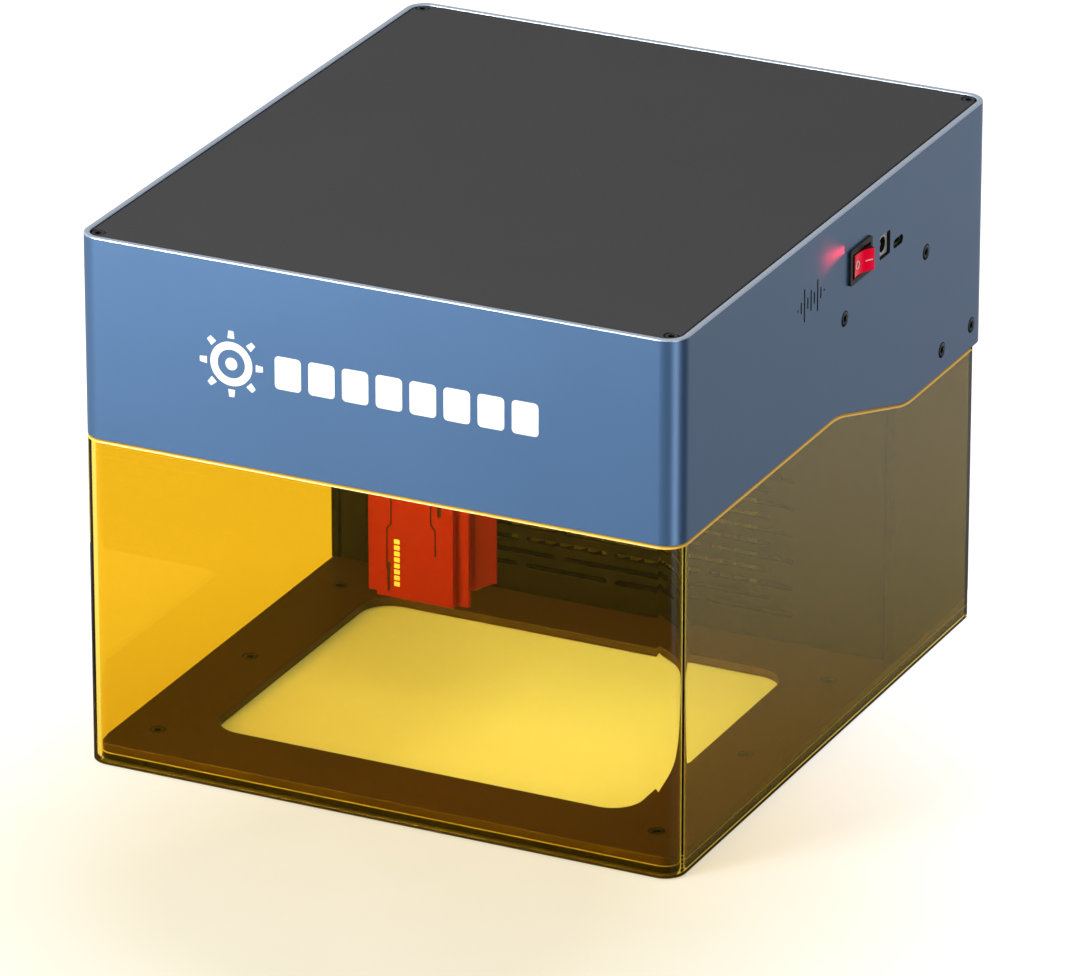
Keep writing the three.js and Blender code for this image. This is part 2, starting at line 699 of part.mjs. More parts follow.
// A belt loop in local X and Y between two pulleys, its width along Z.
function beltLoop(halfSpan) {
  const loop = (radius, Kind) => {
    const path = new Kind();
    path.moveTo(-halfSpan, -radius);
    path.lineTo(halfSpan, -radius);
    path.absarc(halfSpan, 0, radius, -Math.PI / 2, Math.PI / 2);
    path.lineTo(-halfSpan, radius);
    path.absarc(-halfSpan, 0, radius, Math.PI / 2, 1.5 * Math.PI);
    return path;
  };
  const shape = loop(BELT.radius + BELT.thickness, THREE.Shape);
  shape.holes.push(loop(BELT.radius, THREE.Path));
  return extrudeUp(shape, -BELT.width / 2, BELT.width / 2, 7);
}

function addRails() {
  const bracket = railBracket();
  place(machine, "left_rail_bracket", leftRailBracket(), BLACK_METAL);
  place(machine, "right_rail_bracket", mirrored(bracket), BLACK_METAL);
  const rodLength = LUG.rearY + LUG.depth - LUG.frontY;
  const middle = (LUG.rearY + LUG.depth + LUG.frontY) / 2;
  const rod = cylinder("y", ROD_RADIUS, -rodLength / 2, rodLength / 2, 20);
  place(machine, "left_guide_rod", rod, STEEL, -RAIL_X, middle, RAIL_Z);
  place(machine, "right_guide_rod", rod, STEEL, RAIL_X, middle, RAIL_Z);

  // Local Z of the Y drive runs along +X, towards the motor.
  const beltZ = RAIL_Z + Y_BELT_RISE;
  const motorX = Y_BELT_X + BELT.width / 2 + 1 + MOTOR_PLATE + GAP;
  const motor = place(machine, "y_motor", motorBody(), BLACK_METAL, motorX, Y_DRIVE_Y, beltZ);
  motor.rotation.y = Math.PI / 2;
  const drive = place(machine, "y_drive_pulley", drivePulley(), STEEL, Y_BELT_X, Y_DRIVE_Y, beltZ);
  drive.rotation.y = Math.PI / 2;
  const wheel = pulleyBody(PULLEY.bore);
  const idler = place(machine, "y_idler_pulley", wheel, STEEL, Y_BELT_X, Y_IDLER_Y, beltZ);
  idler.rotation.y = Math.PI / 2;
  const span = (Y_DRIVE_Y - Y_IDLER_Y) / 2;
  const loop = beltLoop(span).rotateZ(Math.PI / 2).rotateY(Math.PI / 2);
  place(machine, "y_belt", loop, DARK_RUBBER, Y_BELT_X, (Y_DRIVE_Y + Y_IDLER_Y) / 2, beltZ);
}

// ------------------------------------------------------------ motion: gantry
// All gantry pieces are placed about the point midway between the guide rods.
function yCarriage() {
  const { inner, outer, halfLength, bottom, top } = Y_CARRIAGE;
  const block = box(inner, outer, -halfLength, halfLength, bottom - RAIL_Z, top - RAIL_Z);
  const bores = [moved(cylinder("y", ROD_BORE, -FAR, FAR, 16), RAIL_X, 0, 0)];
  for (const side of [-1, 1]) {
    const pocket = cylinder("x", ROD_BORE, inner - 1, inner + ROD_POCKET, 16);
    bores.push(moved(pocket, 0, side * X_ROD_OFFSET, -X_ROD_DROP));
  }
  return cut(block, ...bores);
}

// The right carriage carries the X motor's face plate.
function rightYCarriage() {
  const side = MOTOR.side / 2;
  const plate = cut(
    box(X_PULLEY_X - side, Y_CARRIAGE.inner + 1, 15.5, 15.5 + MOTOR_PLATE, X_BELT_RISE - side, 12),
    moved(cylinder("y", MOTOR_PILOT, -FAR, FAR, 16), X_PULLEY_X, 0, X_BELT_RISE),
  );
  return join(yCarriage(), plate);
}

// The left carriage carries the idler's axle, and the clamp over the Y belt.
function leftYCarriage() {
  const inner = -Y_CARRIAGE.inner;
  const lowerRun = Y_BELT_RISE - BELT.radius;
  const arm = box(inner - 1, 5 - X_PULLEY_X, 14.2, 17.6, lowerRun + 1, lowerRun + 8);
  const armEnd = box(-X_PULLEY_X - 6, 5 - X_PULLEY_X, 14.2, 17.6, X_BELT_RISE - 4, lowerRun + 8);
  const axle = moved(cylinder("y", AXLE_RADIUS, -3.6, 15, 12), -X_PULLEY_X, 0, X_BELT_RISE);
  const clamp = box(inner - 1, Y_BELT_X + 3.4, -12, 12, lowerRun + 0.5, lowerRun + 4);
  return join(mirrored(yCarriage()), arm, armEnd, axle, clamp);
}

function addGantry() {
  const gantry = groupAt(machine, 0, GANTRY_Y, RAIL_Z);
  place(gantry, "left_y_carriage", leftYCarriage(), BLACK_METAL);
  place(gantry, "right_y_carriage", rightYCarriage(), BLACK_METAL);
  const reach = Y_CARRIAGE.inner + ROD_POCKET - 0.4;
  const rod = cylinder("x", ROD_RADIUS, -reach, reach, 20);
  place(gantry, "front_cross_rod", rod, STEEL, 0, -X_ROD_OFFSET, -X_ROD_DROP);
  place(gantry, "rear_cross_rod", rod, STEEL, 0, X_ROD_OFFSET, -X_ROD_DROP);

  // Local Z of the X drive runs to the rear, towards the motor.
  const motor = place(gantry, "x_motor", motorBody(), BLACK_METAL, X_PULLEY_X, 18.4, X_BELT_RISE);
  motor.rotation.x = -Math.PI / 2;
  const drive = place(gantry, "x_drive_pulley", drivePulley(), STEEL, X_PULLEY_X, 0, X_BELT_RISE);
  drive.rotation.x = -Math.PI / 2;
  const wheel = pulleyBody(PULLEY.bore);
  const idler = place(gantry, "x_idler_pulley", wheel, STEEL, -X_PULLEY_X, 0, X_BELT_RISE);
  idler.rotation.x = -Math.PI / 2;
  const loop = beltLoop(X_PULLEY_X).rotateX(Math.PI / 2);
  place(gantry, "x_belt", loop, DARK_RUBBER, 0, 0, X_BELT_RISE);
}

// ------------------------------------------------------ motion: laser module
function xCarriage() {
  const half = X_CARRIAGE.width / 2;
  const { halfDepth, bottom, top } = X_CARRIAGE;
  const plateY = MODULE.rearY + GAP - GANTRY_Y;
  const block = box(-half, half, -halfDepth, halfDepth, bottom - RAIL_Z, top - RAIL_Z);
  const plate = box(-half, half, plateY, 1 - halfDepth, 118 - RAIL_Z, top - RAIL_Z);
  const tools = [-1, 1].map((side) =>
    moved(cylinder("x", ROD_BORE, -FAR, FAR, 16), 0, side * X_ROD_OFFSET, -X_ROD_DROP),
  );
  const middle = BELT.radius + BELT.thickness / 2;
  for (const run of [X_BELT_RISE - middle, X_BELT_RISE + middle]) {
    tools.push(box(-FAR, FAR, -3.5, 3.5, run - 1.2, run + 1.2));
  }
  return cut(join(block, plate), ...tools);
}

// One side of the heat sink's section: [distance from the middle, distance behind its front].
const FIN_TIP = 22.35;
const SECTION_SIDE = [
  [FIN_TIP, 0],
  [FIN_TIP, 2.2],
  [13.5, 2.2],
  [13.5, 5],
  [17.5, 5],
  [17.5, 7],
  [13.5, 7],
  [13.5, 9.8],
  [17.5, 9.8],
  [17.5, 11.8],
  [13.5, 11.8],
  [13.5, 15.5],
  [17.4, 16.6],
];

function heatSinkSection() {
  const shape = new THREE.Shape();
  const depth = MODULE.rearY - MODULE.frontY - FRONT_PLATE_THICKNESS - GAP;
  shape.moveTo(-SECTION_SIDE[0][0], SECTION_SIDE[0][1]);
  for (const [x, y] of SECTION_SIDE) shape.lineTo(x, y);
  // The concave vane at the rear corner
  shape.quadraticCurveTo(18.2, 23.2, 21.6, depth - 1.2);
  shape.lineTo(21.6, depth);
  shape.lineTo(-21.6, depth);
  shape.lineTo(-21.6, depth - 1.2);
  const [vaneX, vaneY] = SECTION_SIDE[SECTION_SIDE.length - 1];
  shape.quadraticCurveTo(-18.2, 23.2, -vaneX, vaneY);
  for (const [x, y] of [...SECTION_SIDE].reverse()) shape.lineTo(-x, y);
  return shape;
}

function heatSink() {
  const front = MODULE.frontY + FRONT_PLATE_THICKNESS + GAP;
  const body = extrudeUp(heatSinkSection(), MODULE.bottom, MODULE.top, 6).translate(0, front, 0);
  const { bottom, top } = MODULE;
  const tools = [
    cylinder("z", NOZZLE_BORE.radius, bottom - 1, bottom + NOZZLE_BORE.height, 20),
    cylinder("z", BARREL_BORE.radius, bottom - 1, bottom + BARREL_BORE.height, 20),
    cylinder("z", WIRING_BORE, bottom, top + 1, 12),
  ];
  return cut(body, ...tools.map((tool) => moved(tool, 0, BEAM_Y, 0)));
}

// Shallow grooves in the front plate: a long broken line on each side.
function frontPlate() {
  const half = MODULE.width / 2;
  const front = MODULE.frontY;
  const plate = box(-half, half, front, front + FRONT_PLATE_THICKNESS, MODULE.bottom, MODULE.top);
  const grooves = [
    [[6.2, 31.5], [6.8, 31.5], [6.8, 92], [6.2, 92]],
    [[4.3, 11.9], [4.9, 11.9], [4.9, 29.3], [6.8, 31.5], [6.2, 31.9], [4.3, 29.7]],
    [[23.8, 34.5], [24.4, 34.5], [24.4, 92], [23.8, 92]],
    [[25.8, 20.9], [26.4, 20.9], [26.4, 32.2], [24.4, 34.9], [23.8, 34.4], [25.8, 31.8]],
    [[27, 38.2], [28.8, 38.2], [28.8, 92], [27, 92]],
    [[4.7, 2.3], [5.7, 2.3], [6.2, 14.9], [4.7, 14.9]],
  ];
  const tools = grooves.map((points) => {
    const outline = polygon(points.map(([x, z]) => [x - half, z + MODULE.bottom]));
    return extrudeBack(outline, front - 1, front + GROOVE_DEPTH);
  });
  return cut(plate, ...tools);
}

function fanFrame(side, depth, bore, corner) {
  const h = side / 2;
  const shape = rectangle(-h, h, -h, h, corner);
  const ring = cut(extrudeUp(shape, 0, depth, 3), cylinder("z", bore, -1, depth + 1, 32));
  const strut = side * 0.02 + 0.6;
  const hub = cylinder("z", bore * 0.38, 0, depth * 0.12 + 0.4, 20);
  const across = box(-bore - 0.5, bore + 0.5, -strut, strut, 0, depth * 0.08 + 0.4);
  const along = box(-strut, strut, -bore - 0.5, bore + 0.5, 0, depth * 0.08 + 0.4);
  return join(ring, hub, across, along);
}

// A fan rotor about Z, its hub's foot at z = 0.
function fanRotor(radius, depth, blades) {
  const hubRadius = radius * 0.42;
  const hub = cylinder("z", hubRadius, 0, depth, 24);
  const pitch = THREE.MathUtils.degToRad(38);
  const chord = depth * 0.92;
  const thickness = depth * 0.06 + 0.2;
  const parts = [hub];
  for (let i = 0; i < blades; i++) {
    const blade = new THREE.BoxGeometry(radius - hubRadius + 1, thickness, chord);
    blade.rotateX(pitch);
    blade.translate((radius + hubRadius - 1) / 2, 0, depth / 2);
    blade.rotateZ((i * 2 * Math.PI) / blades);
    parts.push(blade);
  }
  return join(...parts);
}

function addLaser() {
  const laser = groupAt(machine, BEAM_X, 0, 0);
  place(laser, "x_carriage", xCarriage(), BLACK_METAL, 0, GANTRY_Y, RAIL_Z);
  place(laser, "laser_heatsink", heatSink(), RED_ALUMINIUM);
  place(laser, "laser_front_plate", frontPlate(), RED_ALUMINIUM);

  const barrel = turned([[0, 0], [4.5, 0], [4.5, -3], [6.5, -3], [6.5, 38], [0, 38]], 20);
  place(laser, "laser_diode_barrel", barrel, BRASS, 0, BEAM_Y, MODULE.bottom + 9);
  const nozzleProfile = [[5.2, 11], [5.2, 5], [3, 0], [4.6, 0], [8, 5.7], [8, 11], [5.2, 11]];
  place(laser, "laser_nozzle", turned(nozzleProfile, 20), BLACK_PLASTIC, 0, BEAM_Y, MODULE.bottom - 5.4);
  const lensProfile = [[0, 0], [4.9, 0], [4.9, 1.2], [2.6, 1.9], [0, 2.2]];
  place(laser, "laser_lens", turned(lensProfile, 20), GLASS, 0, BEAM_Y, MODULE.bottom + 2.2);

  const { side, depth, bore } = LASER_FAN;
  const fanY = MODULE.frontY + 0.4 + side / 2;
  const frameZ = MODULE.top + GAP;
  place(laser, "laser_fan_frame", fanFrame(side, depth, bore, 2), BLACK_PLASTIC, 0, fanY, frameZ);
  place(laser, "laser_fan_rotor", fanRotor(bore - 0.8, 7.4, 7), BLACK_PLASTIC, 0, fanY, frameZ + 2.2);
}

// --------------------------------------------------------- the rear housing
function housingRing(rearY, z0, z1) {
  const w = BASE_HALF_WIDTH;
  const t = HOUSING_WALL;
  const r = BASE_CORNER;
  const outer = rectangle(-w, w, HOUSING_FRONT_Y - FAR / 4, rearY, r);
  const inner = rectangle(t - w, w - t, HOUSING_FRONT_Y - FAR, rearY - t, r - t);
  const walls = cut(extrudeUp(outer, z0, z1, 6), extrudeUp(inner, z0 - 1, z1 + 1, 6));
  return cut(walls, box(-FAR, FAR, -FAR, HOUSING_FRONT_Y, -FAR, FAR));
}

function rearHousing() {
  const bottom = FRAME_TOP_Z + 0.2;
  const w = BASE_HALF_WIDTH - 1;
  const lidShape = rectangle(-w, w, HOUSING_FRONT_Y + 3, HOUSING_UPPER_REAR_Y - 1, BASE_CORNER - 1);
  const lid = extrudeUp(lidShape, HOUSING_TOP_Z - 2, HOUSING_TOP_Z, 6);
  const body = join(
    housingRing(HOUSING_REAR_Y, bottom, REAR_EDGE_Z - SHIELD_TOP_GAP),
    housingRing(HOUSING_UPPER_REAR_Y, REAR_EDGE_Z - 3, HOUSING_TOP_Z),
    lid,
  );
  const h = EXHAUST.grille / 2 + GAP;
  const opening = rectangle(-h, h, EXHAUST.z - h, EXHAUST.z + h, 4);
  const tools = [extrudeBack(opening, HOUSING_REAR_Y - 9, FAR, 3)];
  for (const spot of Object.values(HOUSING_SCREWS)) {
    tools.push(sideHole(spot, SHANK_HOLE, -FAR, FAR));
  }
  return cut(body, ...tools);
}

function rowOfSlots({ start, lengths }, z) {
  const half = SLOT.height / 2;
  let x = start;
  return lengths.map((length) => {
    const slot = slotOutline(x, x + length, z - half, z + half, half * 0.6, THREE.Path);
    x += length + SLOT.bridge;
    return slot;
  });
}

function rearPanel() {
  const w = BASE_HALF_WIDTH - HOUSING_WALL - PANEL_GROOVE;
  const panel = rectangle(-w, w, FRAME_TOP_Z + GAP, HOUSING_TOP_Z - 2.4, 1);
  for (let row = 0; row < SLOT.rows; row++) {
    const kind = row % 2 === 0 ? LONG_ROW : SHORT_ROW;
    panel.holes.push(...rowOfSlots(kind, SLOT.firstRowZ + row * SLOT.rowPitch));
  }
  return extrudeBack(panel, HOUSING_FRONT_Y + 0.6, HOUSING_FRONT_Y + 2.6, 1);
}

function exhaustGrille() {
  const h = EXHAUST.grille / 2;
  const grille = rectangle(-h, h, EXHAUST.z - h, EXHAUST.z + h, 4);
  const { count, pitch, half, chamfer } = GRILLE_SLOT;
  for (let i = 0; i < count; i++) {
    const z = EXHAUST.z + (i - (count - 1) / 2) * pitch;
    const reach = Math.sqrt(EXHAUST.bore ** 2 - ((z - EXHAUST.z) * 0.98) ** 2) - 1;
    grille.holes.push(slotOutline(-reach, reach, z - half, z + half, chamfer, THREE.Path));
  }
  return extrudeBack(grille, HOUSING_REAR_Y - 2.4, HOUSING_REAR_Y, 3);
}

// A pleated filter block, the pleats running up and down.
function filterCartridge() {
  const { half, depth, pleats, pleatDepth, margin } = FILTER;
  const pitch = (2 * (half - margin)) / pleats;
  const points = [[-half, depth], [-half, 0]];
  for (let i = 0; i < pleats; i++) {
    const x = margin - half + i * pitch;
    points.push([x, 0], [x + pitch / 2, pleatDepth]);
  }
  points.push([half - margin, 0], [half, 0], [half, depth]);
  return extrudeUp(polygon(points.reverse()), 0, 2 * half);
}

function addRear() {
  place(machine, "rear_housing", rearHousing(), BLACK_METAL);
  place(machine, "rear_panel", rearPanel(), BLACK_METAL);
  place(machine, "exhaust_grille", exhaustGrille(), BLACK_METAL);
  const filterZ = EXHAUST.z - FILTER.half;
  place(machine, "filter_cartridge", filterCartridge(), FILTER_FELT, 0, FILTER.frontY, filterZ);

  // Local Z of the exhaust fan runs to the front, from its struts to its rotor.
  const { fan, fanDepth, bore, fanFrontY } = EXHAUST;
  const exhaust = groupAt(machine, 0, fanFrontY + fanDepth, EXHAUST.z);
  exhaust.rotation.x = Math.PI / 2;
  place(exhaust, "exhaust_fan_frame", fanFrame(fan, fanDepth, bore, 5), BLACK_PLASTIC);
  place(exhaust, "exhaust_fan_rotor", fanRotor(bore - 1.2, 18, 7), BLACK_PLASTIC, 0, 0, 4.6);
}

addShell();
place(machine, "amber_shield", amberShield(), AMBER_ACRYLIC);
addBase();
addControls();
addRails();
addGantry();
addLaser();
addRear();

export default machine;
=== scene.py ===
"""Looks for the desktop laser engraver: fine meshes, materials, light and camera.

Everything is in metres in the model's own frame: +X to the operator's right, +Y to the
rear, +Z up, with the origin on the table under the shell's centre.
"""

import json
import math

import bmesh
import bpy
from mathutils import Matrix, Vector

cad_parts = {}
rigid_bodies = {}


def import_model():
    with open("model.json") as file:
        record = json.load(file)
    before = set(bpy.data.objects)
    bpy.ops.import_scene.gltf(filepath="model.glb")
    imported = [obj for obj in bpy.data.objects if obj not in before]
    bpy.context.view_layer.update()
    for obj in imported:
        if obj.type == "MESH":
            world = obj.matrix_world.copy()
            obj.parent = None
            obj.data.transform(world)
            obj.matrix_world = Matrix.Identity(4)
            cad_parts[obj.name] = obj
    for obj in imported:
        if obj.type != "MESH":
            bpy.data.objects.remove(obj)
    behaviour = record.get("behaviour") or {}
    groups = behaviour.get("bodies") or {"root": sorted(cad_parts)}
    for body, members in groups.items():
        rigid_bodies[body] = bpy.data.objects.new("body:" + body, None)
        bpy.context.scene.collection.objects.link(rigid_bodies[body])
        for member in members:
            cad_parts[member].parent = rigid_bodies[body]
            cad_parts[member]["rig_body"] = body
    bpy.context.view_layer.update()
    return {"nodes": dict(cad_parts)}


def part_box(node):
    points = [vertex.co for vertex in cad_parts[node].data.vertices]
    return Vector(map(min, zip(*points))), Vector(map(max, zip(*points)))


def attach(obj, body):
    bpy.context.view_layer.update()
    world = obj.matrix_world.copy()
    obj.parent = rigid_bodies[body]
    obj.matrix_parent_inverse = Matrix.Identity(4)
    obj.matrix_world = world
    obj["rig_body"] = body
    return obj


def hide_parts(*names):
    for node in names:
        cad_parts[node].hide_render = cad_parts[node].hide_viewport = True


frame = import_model()
NODES = frame["nodes"]
MM = 0.001

# ---------------------------------------------------------------- dimensions, in millimetres
HALF_WIDTH = 130.0
HALF_DEPTH = 148.5
TOP = 226.0
CORNER = 9.0
SHELL_WALL = 2.5
FRONT_EDGE_Z = 141.0
REAR_EDGE_Z = 121.0
RAMP_FRONT_Y = 0.5
RAMP_REAR_Y = 68.0
RAMP_SOFTENING = 7.0
SHIELD_WALL = 3.0
SHIELD_REAR_Y = 135.0
SHIELD_TOP_GAP = 0.6
SHIELD_FOOT_Z = 0.5
PRINT_DEPTH = 0.06  # the printed mark stands this proud of the shell's front
BOSS = 13.0
COVER_TOP_Z = 225.7
COVER_SCREW_X = 123.4
COVER_SCREW_Y = 141.8
BASE_SCREW_X = 110.0
BASE_SCREWS_Y = {"front": -124.0, "middle": -44.0, "rear": 36.0}
VENT_HEIGHTS = [1.2, 5, 14, 5, 9, 5, 13.6, 5, 1.2]
VENT_FRONT_Y = -39.4
VENT_PITCH = 3.1
VENT_HALF_WIDTH = 0.55
VENT_Z = 199.8
SWITCH_Y = 19.3
SWITCH_Z = 200.1
ROCKER_X = 126.9
ROCKER_TILT = 14.0
JACK_Y = 44.3
JACK_Z = 197.8
USB_Y = 57.5
USB_Z = 194.8
SUNK = 1.3  # the side screws' seats and the sockets' faces behind the shell's face
SEAT_RADIUS = 3.35
SIDE_SCREWS = [(5.8, 180.2), (85.7, 180.2), (103.5, 131.2), (133.4, 131.3)]
LASER_X = -23.75
MODULE_FRONT_Y = -66.0
MODULE_BOTTOM = 58.0
MODULE_WIDTH = 33.9

# ---------------------------------------------------------------- limits for joining mesh parts
WELD = 0.000002  # metres
NEARLY_FLAT = math.radians(0.6)


# ---------------------------------------------------------------- material helpers
def math_node(tree, operation, *values):
    """A math node's output. Each value is a socket to link or a plain number."""
    node = tree.nodes.new("ShaderNodeMath")
    node.operation = operation
    for socket, value in zip(node.inputs, values):
        if isinstance(value, bpy.types.NodeSocket):
            tree.links.new(value, socket)
        else:
            socket.default_value = value
    return node.outputs[0]


def map_range(tree, value, source, target=(0.0, 1.0), kind="LINEAR"):
    """The value taken from the range source to the range target."""
    node = tree.nodes.new("ShaderNodeMapRange")
    node.interpolation_type = kind
    node.inputs["From Min"].default_value, node.inputs["From Max"].default_value = source
    node.inputs["To Min"].default_value, node.inputs["To Max"].default_value = target
    tree.links.new(value, node.inputs["Value"])
    return node.outputs["Result"]


class Look:
    """A Principled material and short calls that add procedural detail to it."""

    def __init__(self, name, color, roughness, metallic=0.0):
        self.material = bpy.data.materials.new(name)
        self.material.use_nodes = True
        self.tree = self.material.node_tree
        self.shader = self.tree.nodes["Principled BSDF"]
        self.color = color
        self.set("Base Color", (*color, 1.0))
        self.set("Roughness", roughness)
        self.set("Metallic", metallic)
        coordinates = self.tree.nodes.new("ShaderNodeTexCoord")
        self.point = coordinates.outputs["Object"]
        self.height = None

    def set(self, socket, value):
        self.shader.inputs[socket].default_value = value
        return self

    def noise(self, scale, detail=2.0, stretch=(1.0, 1.0, 1.0)):
        mapping = self.tree.nodes.new("ShaderNodeMapping")
        mapping.inputs["Scale"].default_value = stretch
        self.tree.links.new(self.point, mapping.inputs["Vector"])
        texture = self.tree.nodes.new("ShaderNodeTexNoise")
        texture.inputs["Scale"].default_value = scale
        texture.inputs["Detail"].default_value = detail
        self.tree.links.new(mapping.outputs["Vector"], texture.inputs["Vector"])
        return texture.outputs["Fac"]

    def ramp(self, factor, low, high, from_low=0.3, from_high=0.7):
        return map_range(self.tree, factor, (from_low, from_high), (low, high))

    def tint(self, factor, darker=0.85, lighter=1.12):
        """The base colour varies with the factor, between darker and lighter shares of it."""
        node = self.tree.nodes.new("ShaderNodeMix")
        node.data_type = "RGBA"
        for socket, share in (("A", darker), ("B", lighter)):
            shade = [min(1.0, c * share) for c in self.color]
            target = [s for s in node.inputs if s.name == socket and s.type == "RGBA"][0]
            target.default_value = (*shade, 1.0)
        self.tree.links.new(factor, node.inputs["Factor"])
        result = [s for s in node.outputs if s.type == "RGBA"][0]
        self.tree.links.new(result, self.shader.inputs["Base Color"])
        return self

    def rough(self, factor, low, high):
        self.tree.links.new(self.ramp(factor, low, high), self.shader.inputs["Roughness"])
        return self

    def bump(self, factor, strength, depth):
        """Adds a relief of that depth in metres over any relief already there."""
        node = self.tree.nodes.new("ShaderNodeBump")
        node.inputs["Strength"].default_value = strength
        node.inputs["Distance"].default_value = depth
        self.tree.links.new(factor, node.inputs["Height"])
        if self.height is not None:
            self.tree.links.new(self.height, node.inputs["Normal"])
        self.height = node.outputs["Normal"]
        self.tree.links.new(self.height, self.shader.inputs["Normal"])
        return self


def grained(name, color, roughness, metallic, grain, relief, spread=0.06):
    """A surface with a fine grain: grain is noise per metre, relief its depth in metres."""
    look = Look(name, color, roughness, metallic)
    cloud = look.noise(18.0, 3.0)
    fine = look.noise(grain, 2.0)
    look.tint(cloud, 0.94, 1.07)
    look.rough(fine, roughness - spread, roughness + spread)
    look.bump(fine, 0.35, relief)
    return look


def brushed(name, color, roughness, stretch, relief=0.00002):
    """Metal with fine lines: stretch is small along the lines."""
    look = Look(name, color, roughness, 1.0)
    lines = look.noise(900.0, 3.0, stretch)
    look.tint(lines, 0.88, 1.08)
    look.rough(lines, roughness - 0.05, roughness + 0.09)
    look.bump(lines, 0.3, relief)
    return look


# ---------------------------------------------------------------- materials
def blue_anodised():
    look = grained("blue_anodised", (0.088, 0.184, 0.352), 0.40, 0.60, 2600.0, 0.000025)
    look.set("Coat Weight", 0.4)
    look.set("Coat Roughness", 0.28)
    return look.set("IOR", 1.5)


def acrylic():
    """Amber acrylic: refracting for the eye, tinted clear for the light that comes through."""
    look = Look("amber_acrylic", (0.865, 0.635, 0.095), 0.0)
    look.set("Transmission Weight", 1.0)
    look.set("IOR", 1.25)
    haze = look.noise(30.0, 2.0)
    look.rough(haze, 0.0, 0.012)
    tree = look.tree
    clear = tree.nodes.new("ShaderNodeBsdfTransparent")
    clear.inputs["Color"].default_value = (0.60, 0.44, 0.11, 1.0)
    path = tree.nodes.new("ShaderNodeLightPath")
    mix = tree.nodes.new("ShaderNodeMixShader")
    output = tree.nodes["Material Output"]
    tree.links.new(path.outputs["Is Shadow Ray"], mix.inputs["Fac"])
    tree.links.new(look.shader.outputs["BSDF"], mix.inputs[1])
    tree.links.new(clear.outputs["BSDF"], mix.inputs[2])
    tree.links.new(mix.outputs["Shader"], output.inputs["Surface"])
    return look


def painted_foot_shade():
    """The shield's foot, painted dark as shade where it stands on the table."""
    look = Look("amber_foot_painted_shade", (0.045, 0.022, 0.004), 0.55)
    scuffs = look.noise(500.0, 2.0)
    look.tint(scuffs, 0.8, 1.2)
    return look


def painted_edge_glow():
    """The sawn and polished edge, with a painted glow: its emission stands in for the light that
    the bevel catches.
    """
    look = Look("amber_edge_painted_glow", (0.80, 0.46, 0.05), 0.3)
    streaks = look.noise(700.0, 2.0, (1.0, 1.0, 0.2))
    look.tint(streaks, 0.9, 1.1)
    look.set("Emission Color", (0.86, 0.47, 0.07, 1.0))
    look.set("Emission Strength", 0.22)
    return look


def lit_plastic(name, color, glow):
    look = Look(name, color, 0.22)
    cloud = look.noise(160.0, 2.0)
    look.tint(cloud, 0.85, 1.1)
    look.set("Emission Color", (*color, 1.0))
    look.set("Emission Strength", glow)
    look.set("Specular IOR Level", 0.25)
    look.bump(look.noise(2400.0, 1.0), 0.15, 0.00001)
    return look


def bed_metal():
    look = Look("pale_bed", (0.75, 0.82, 0.90), 0.42)
    lines = look.noise(500.0, 3.0, (1.0, 0.04, 1.0))
    patches = look.noise(22.0, 4.0)
    look.tint(patches, 0.93, 1.04)
    look.rough(lines, 0.34, 0.5)
    look.bump(lines, 0.2, 0.00002)
    return look


def solder_mask():
    look = Look("solder_mask", (0.015, 0.12, 0.06), 0.35)
    cells = look.tree.nodes.new("ShaderNodeTexBrick")
    cells.inputs["Scale"].default_value = 420.0
    cells.inputs["Color1"].default_value = (0.015, 0.12, 0.06, 1.0)
    cells.inputs["Color2"].default_value = (0.012, 0.10, 0.05, 1.0)
    cells.inputs["Mortar"].default_value = (0.03, 0.20, 0.10, 1.0)
    cells.inputs["Mortar Size"].default_value = 0.03
    look.tree.links.new(look.point, cells.inputs["Vector"])
    look.tree.links.new(cells.outputs["Color"], look.shader.inputs["Base Color"])
    look.bump(cells.outputs["Fac"], 0.3, 0.00003)
    return look


def felt():
    look = Look("filter_felt", (0.58, 0.56, 0.51), 0.95)
    fibres = look.noise(1600.0, 5.0)
    look.tint(fibres, 0.72, 1.12)
    look.bump(fibres, 0.8, 0.0003)
    return look.set("Sheen Weight", 0.3)


def lens_glass():
    look = Look("lens_glass", (0.80, 0.88, 0.95), 0.02)
    look.rough(look.noise(400.0), 0.01, 0.04)
    look.set("Transmission Weight", 1.0)
    return look.set("IOR", 1.52)


ALONG_Z = (1.0, 1.0, 0.03)
ALONG_X = (0.03, 1.0, 1.0)
ALONG_Y = (1.0, 0.03, 1.0)

BLUE = blue_anodised()
COVER = grained("dark_cover", (0.047, 0.047, 0.047), 0.74, 0.0, 2200.0, 0.00005)
SCREW = grained("black_oxide", (0.045, 0.05, 0.055), 0.36, 0.85, 3000.0, 0.00001)
# A ring on the screw heads, painted lighter as a highlight.
SCREW_HIGHLIGHT = grained("oxide_painted_highlight", (0.13, 0.14, 0.15), 0.38, 0.9, 3000.0, 0.00001)
BLACK_COAT = grained("black_powder_coat", (0.004, 0.004, 0.005), 0.62, 0.0, 1800.0, 0.00003)
BLACK_COAT.set("Specular IOR Level", 0.18)
FRAME_COAT = grained("black_anodised_base", (0.042, 0.019, 0.012), 0.55, 0.0, 1800.0, 0.00003)
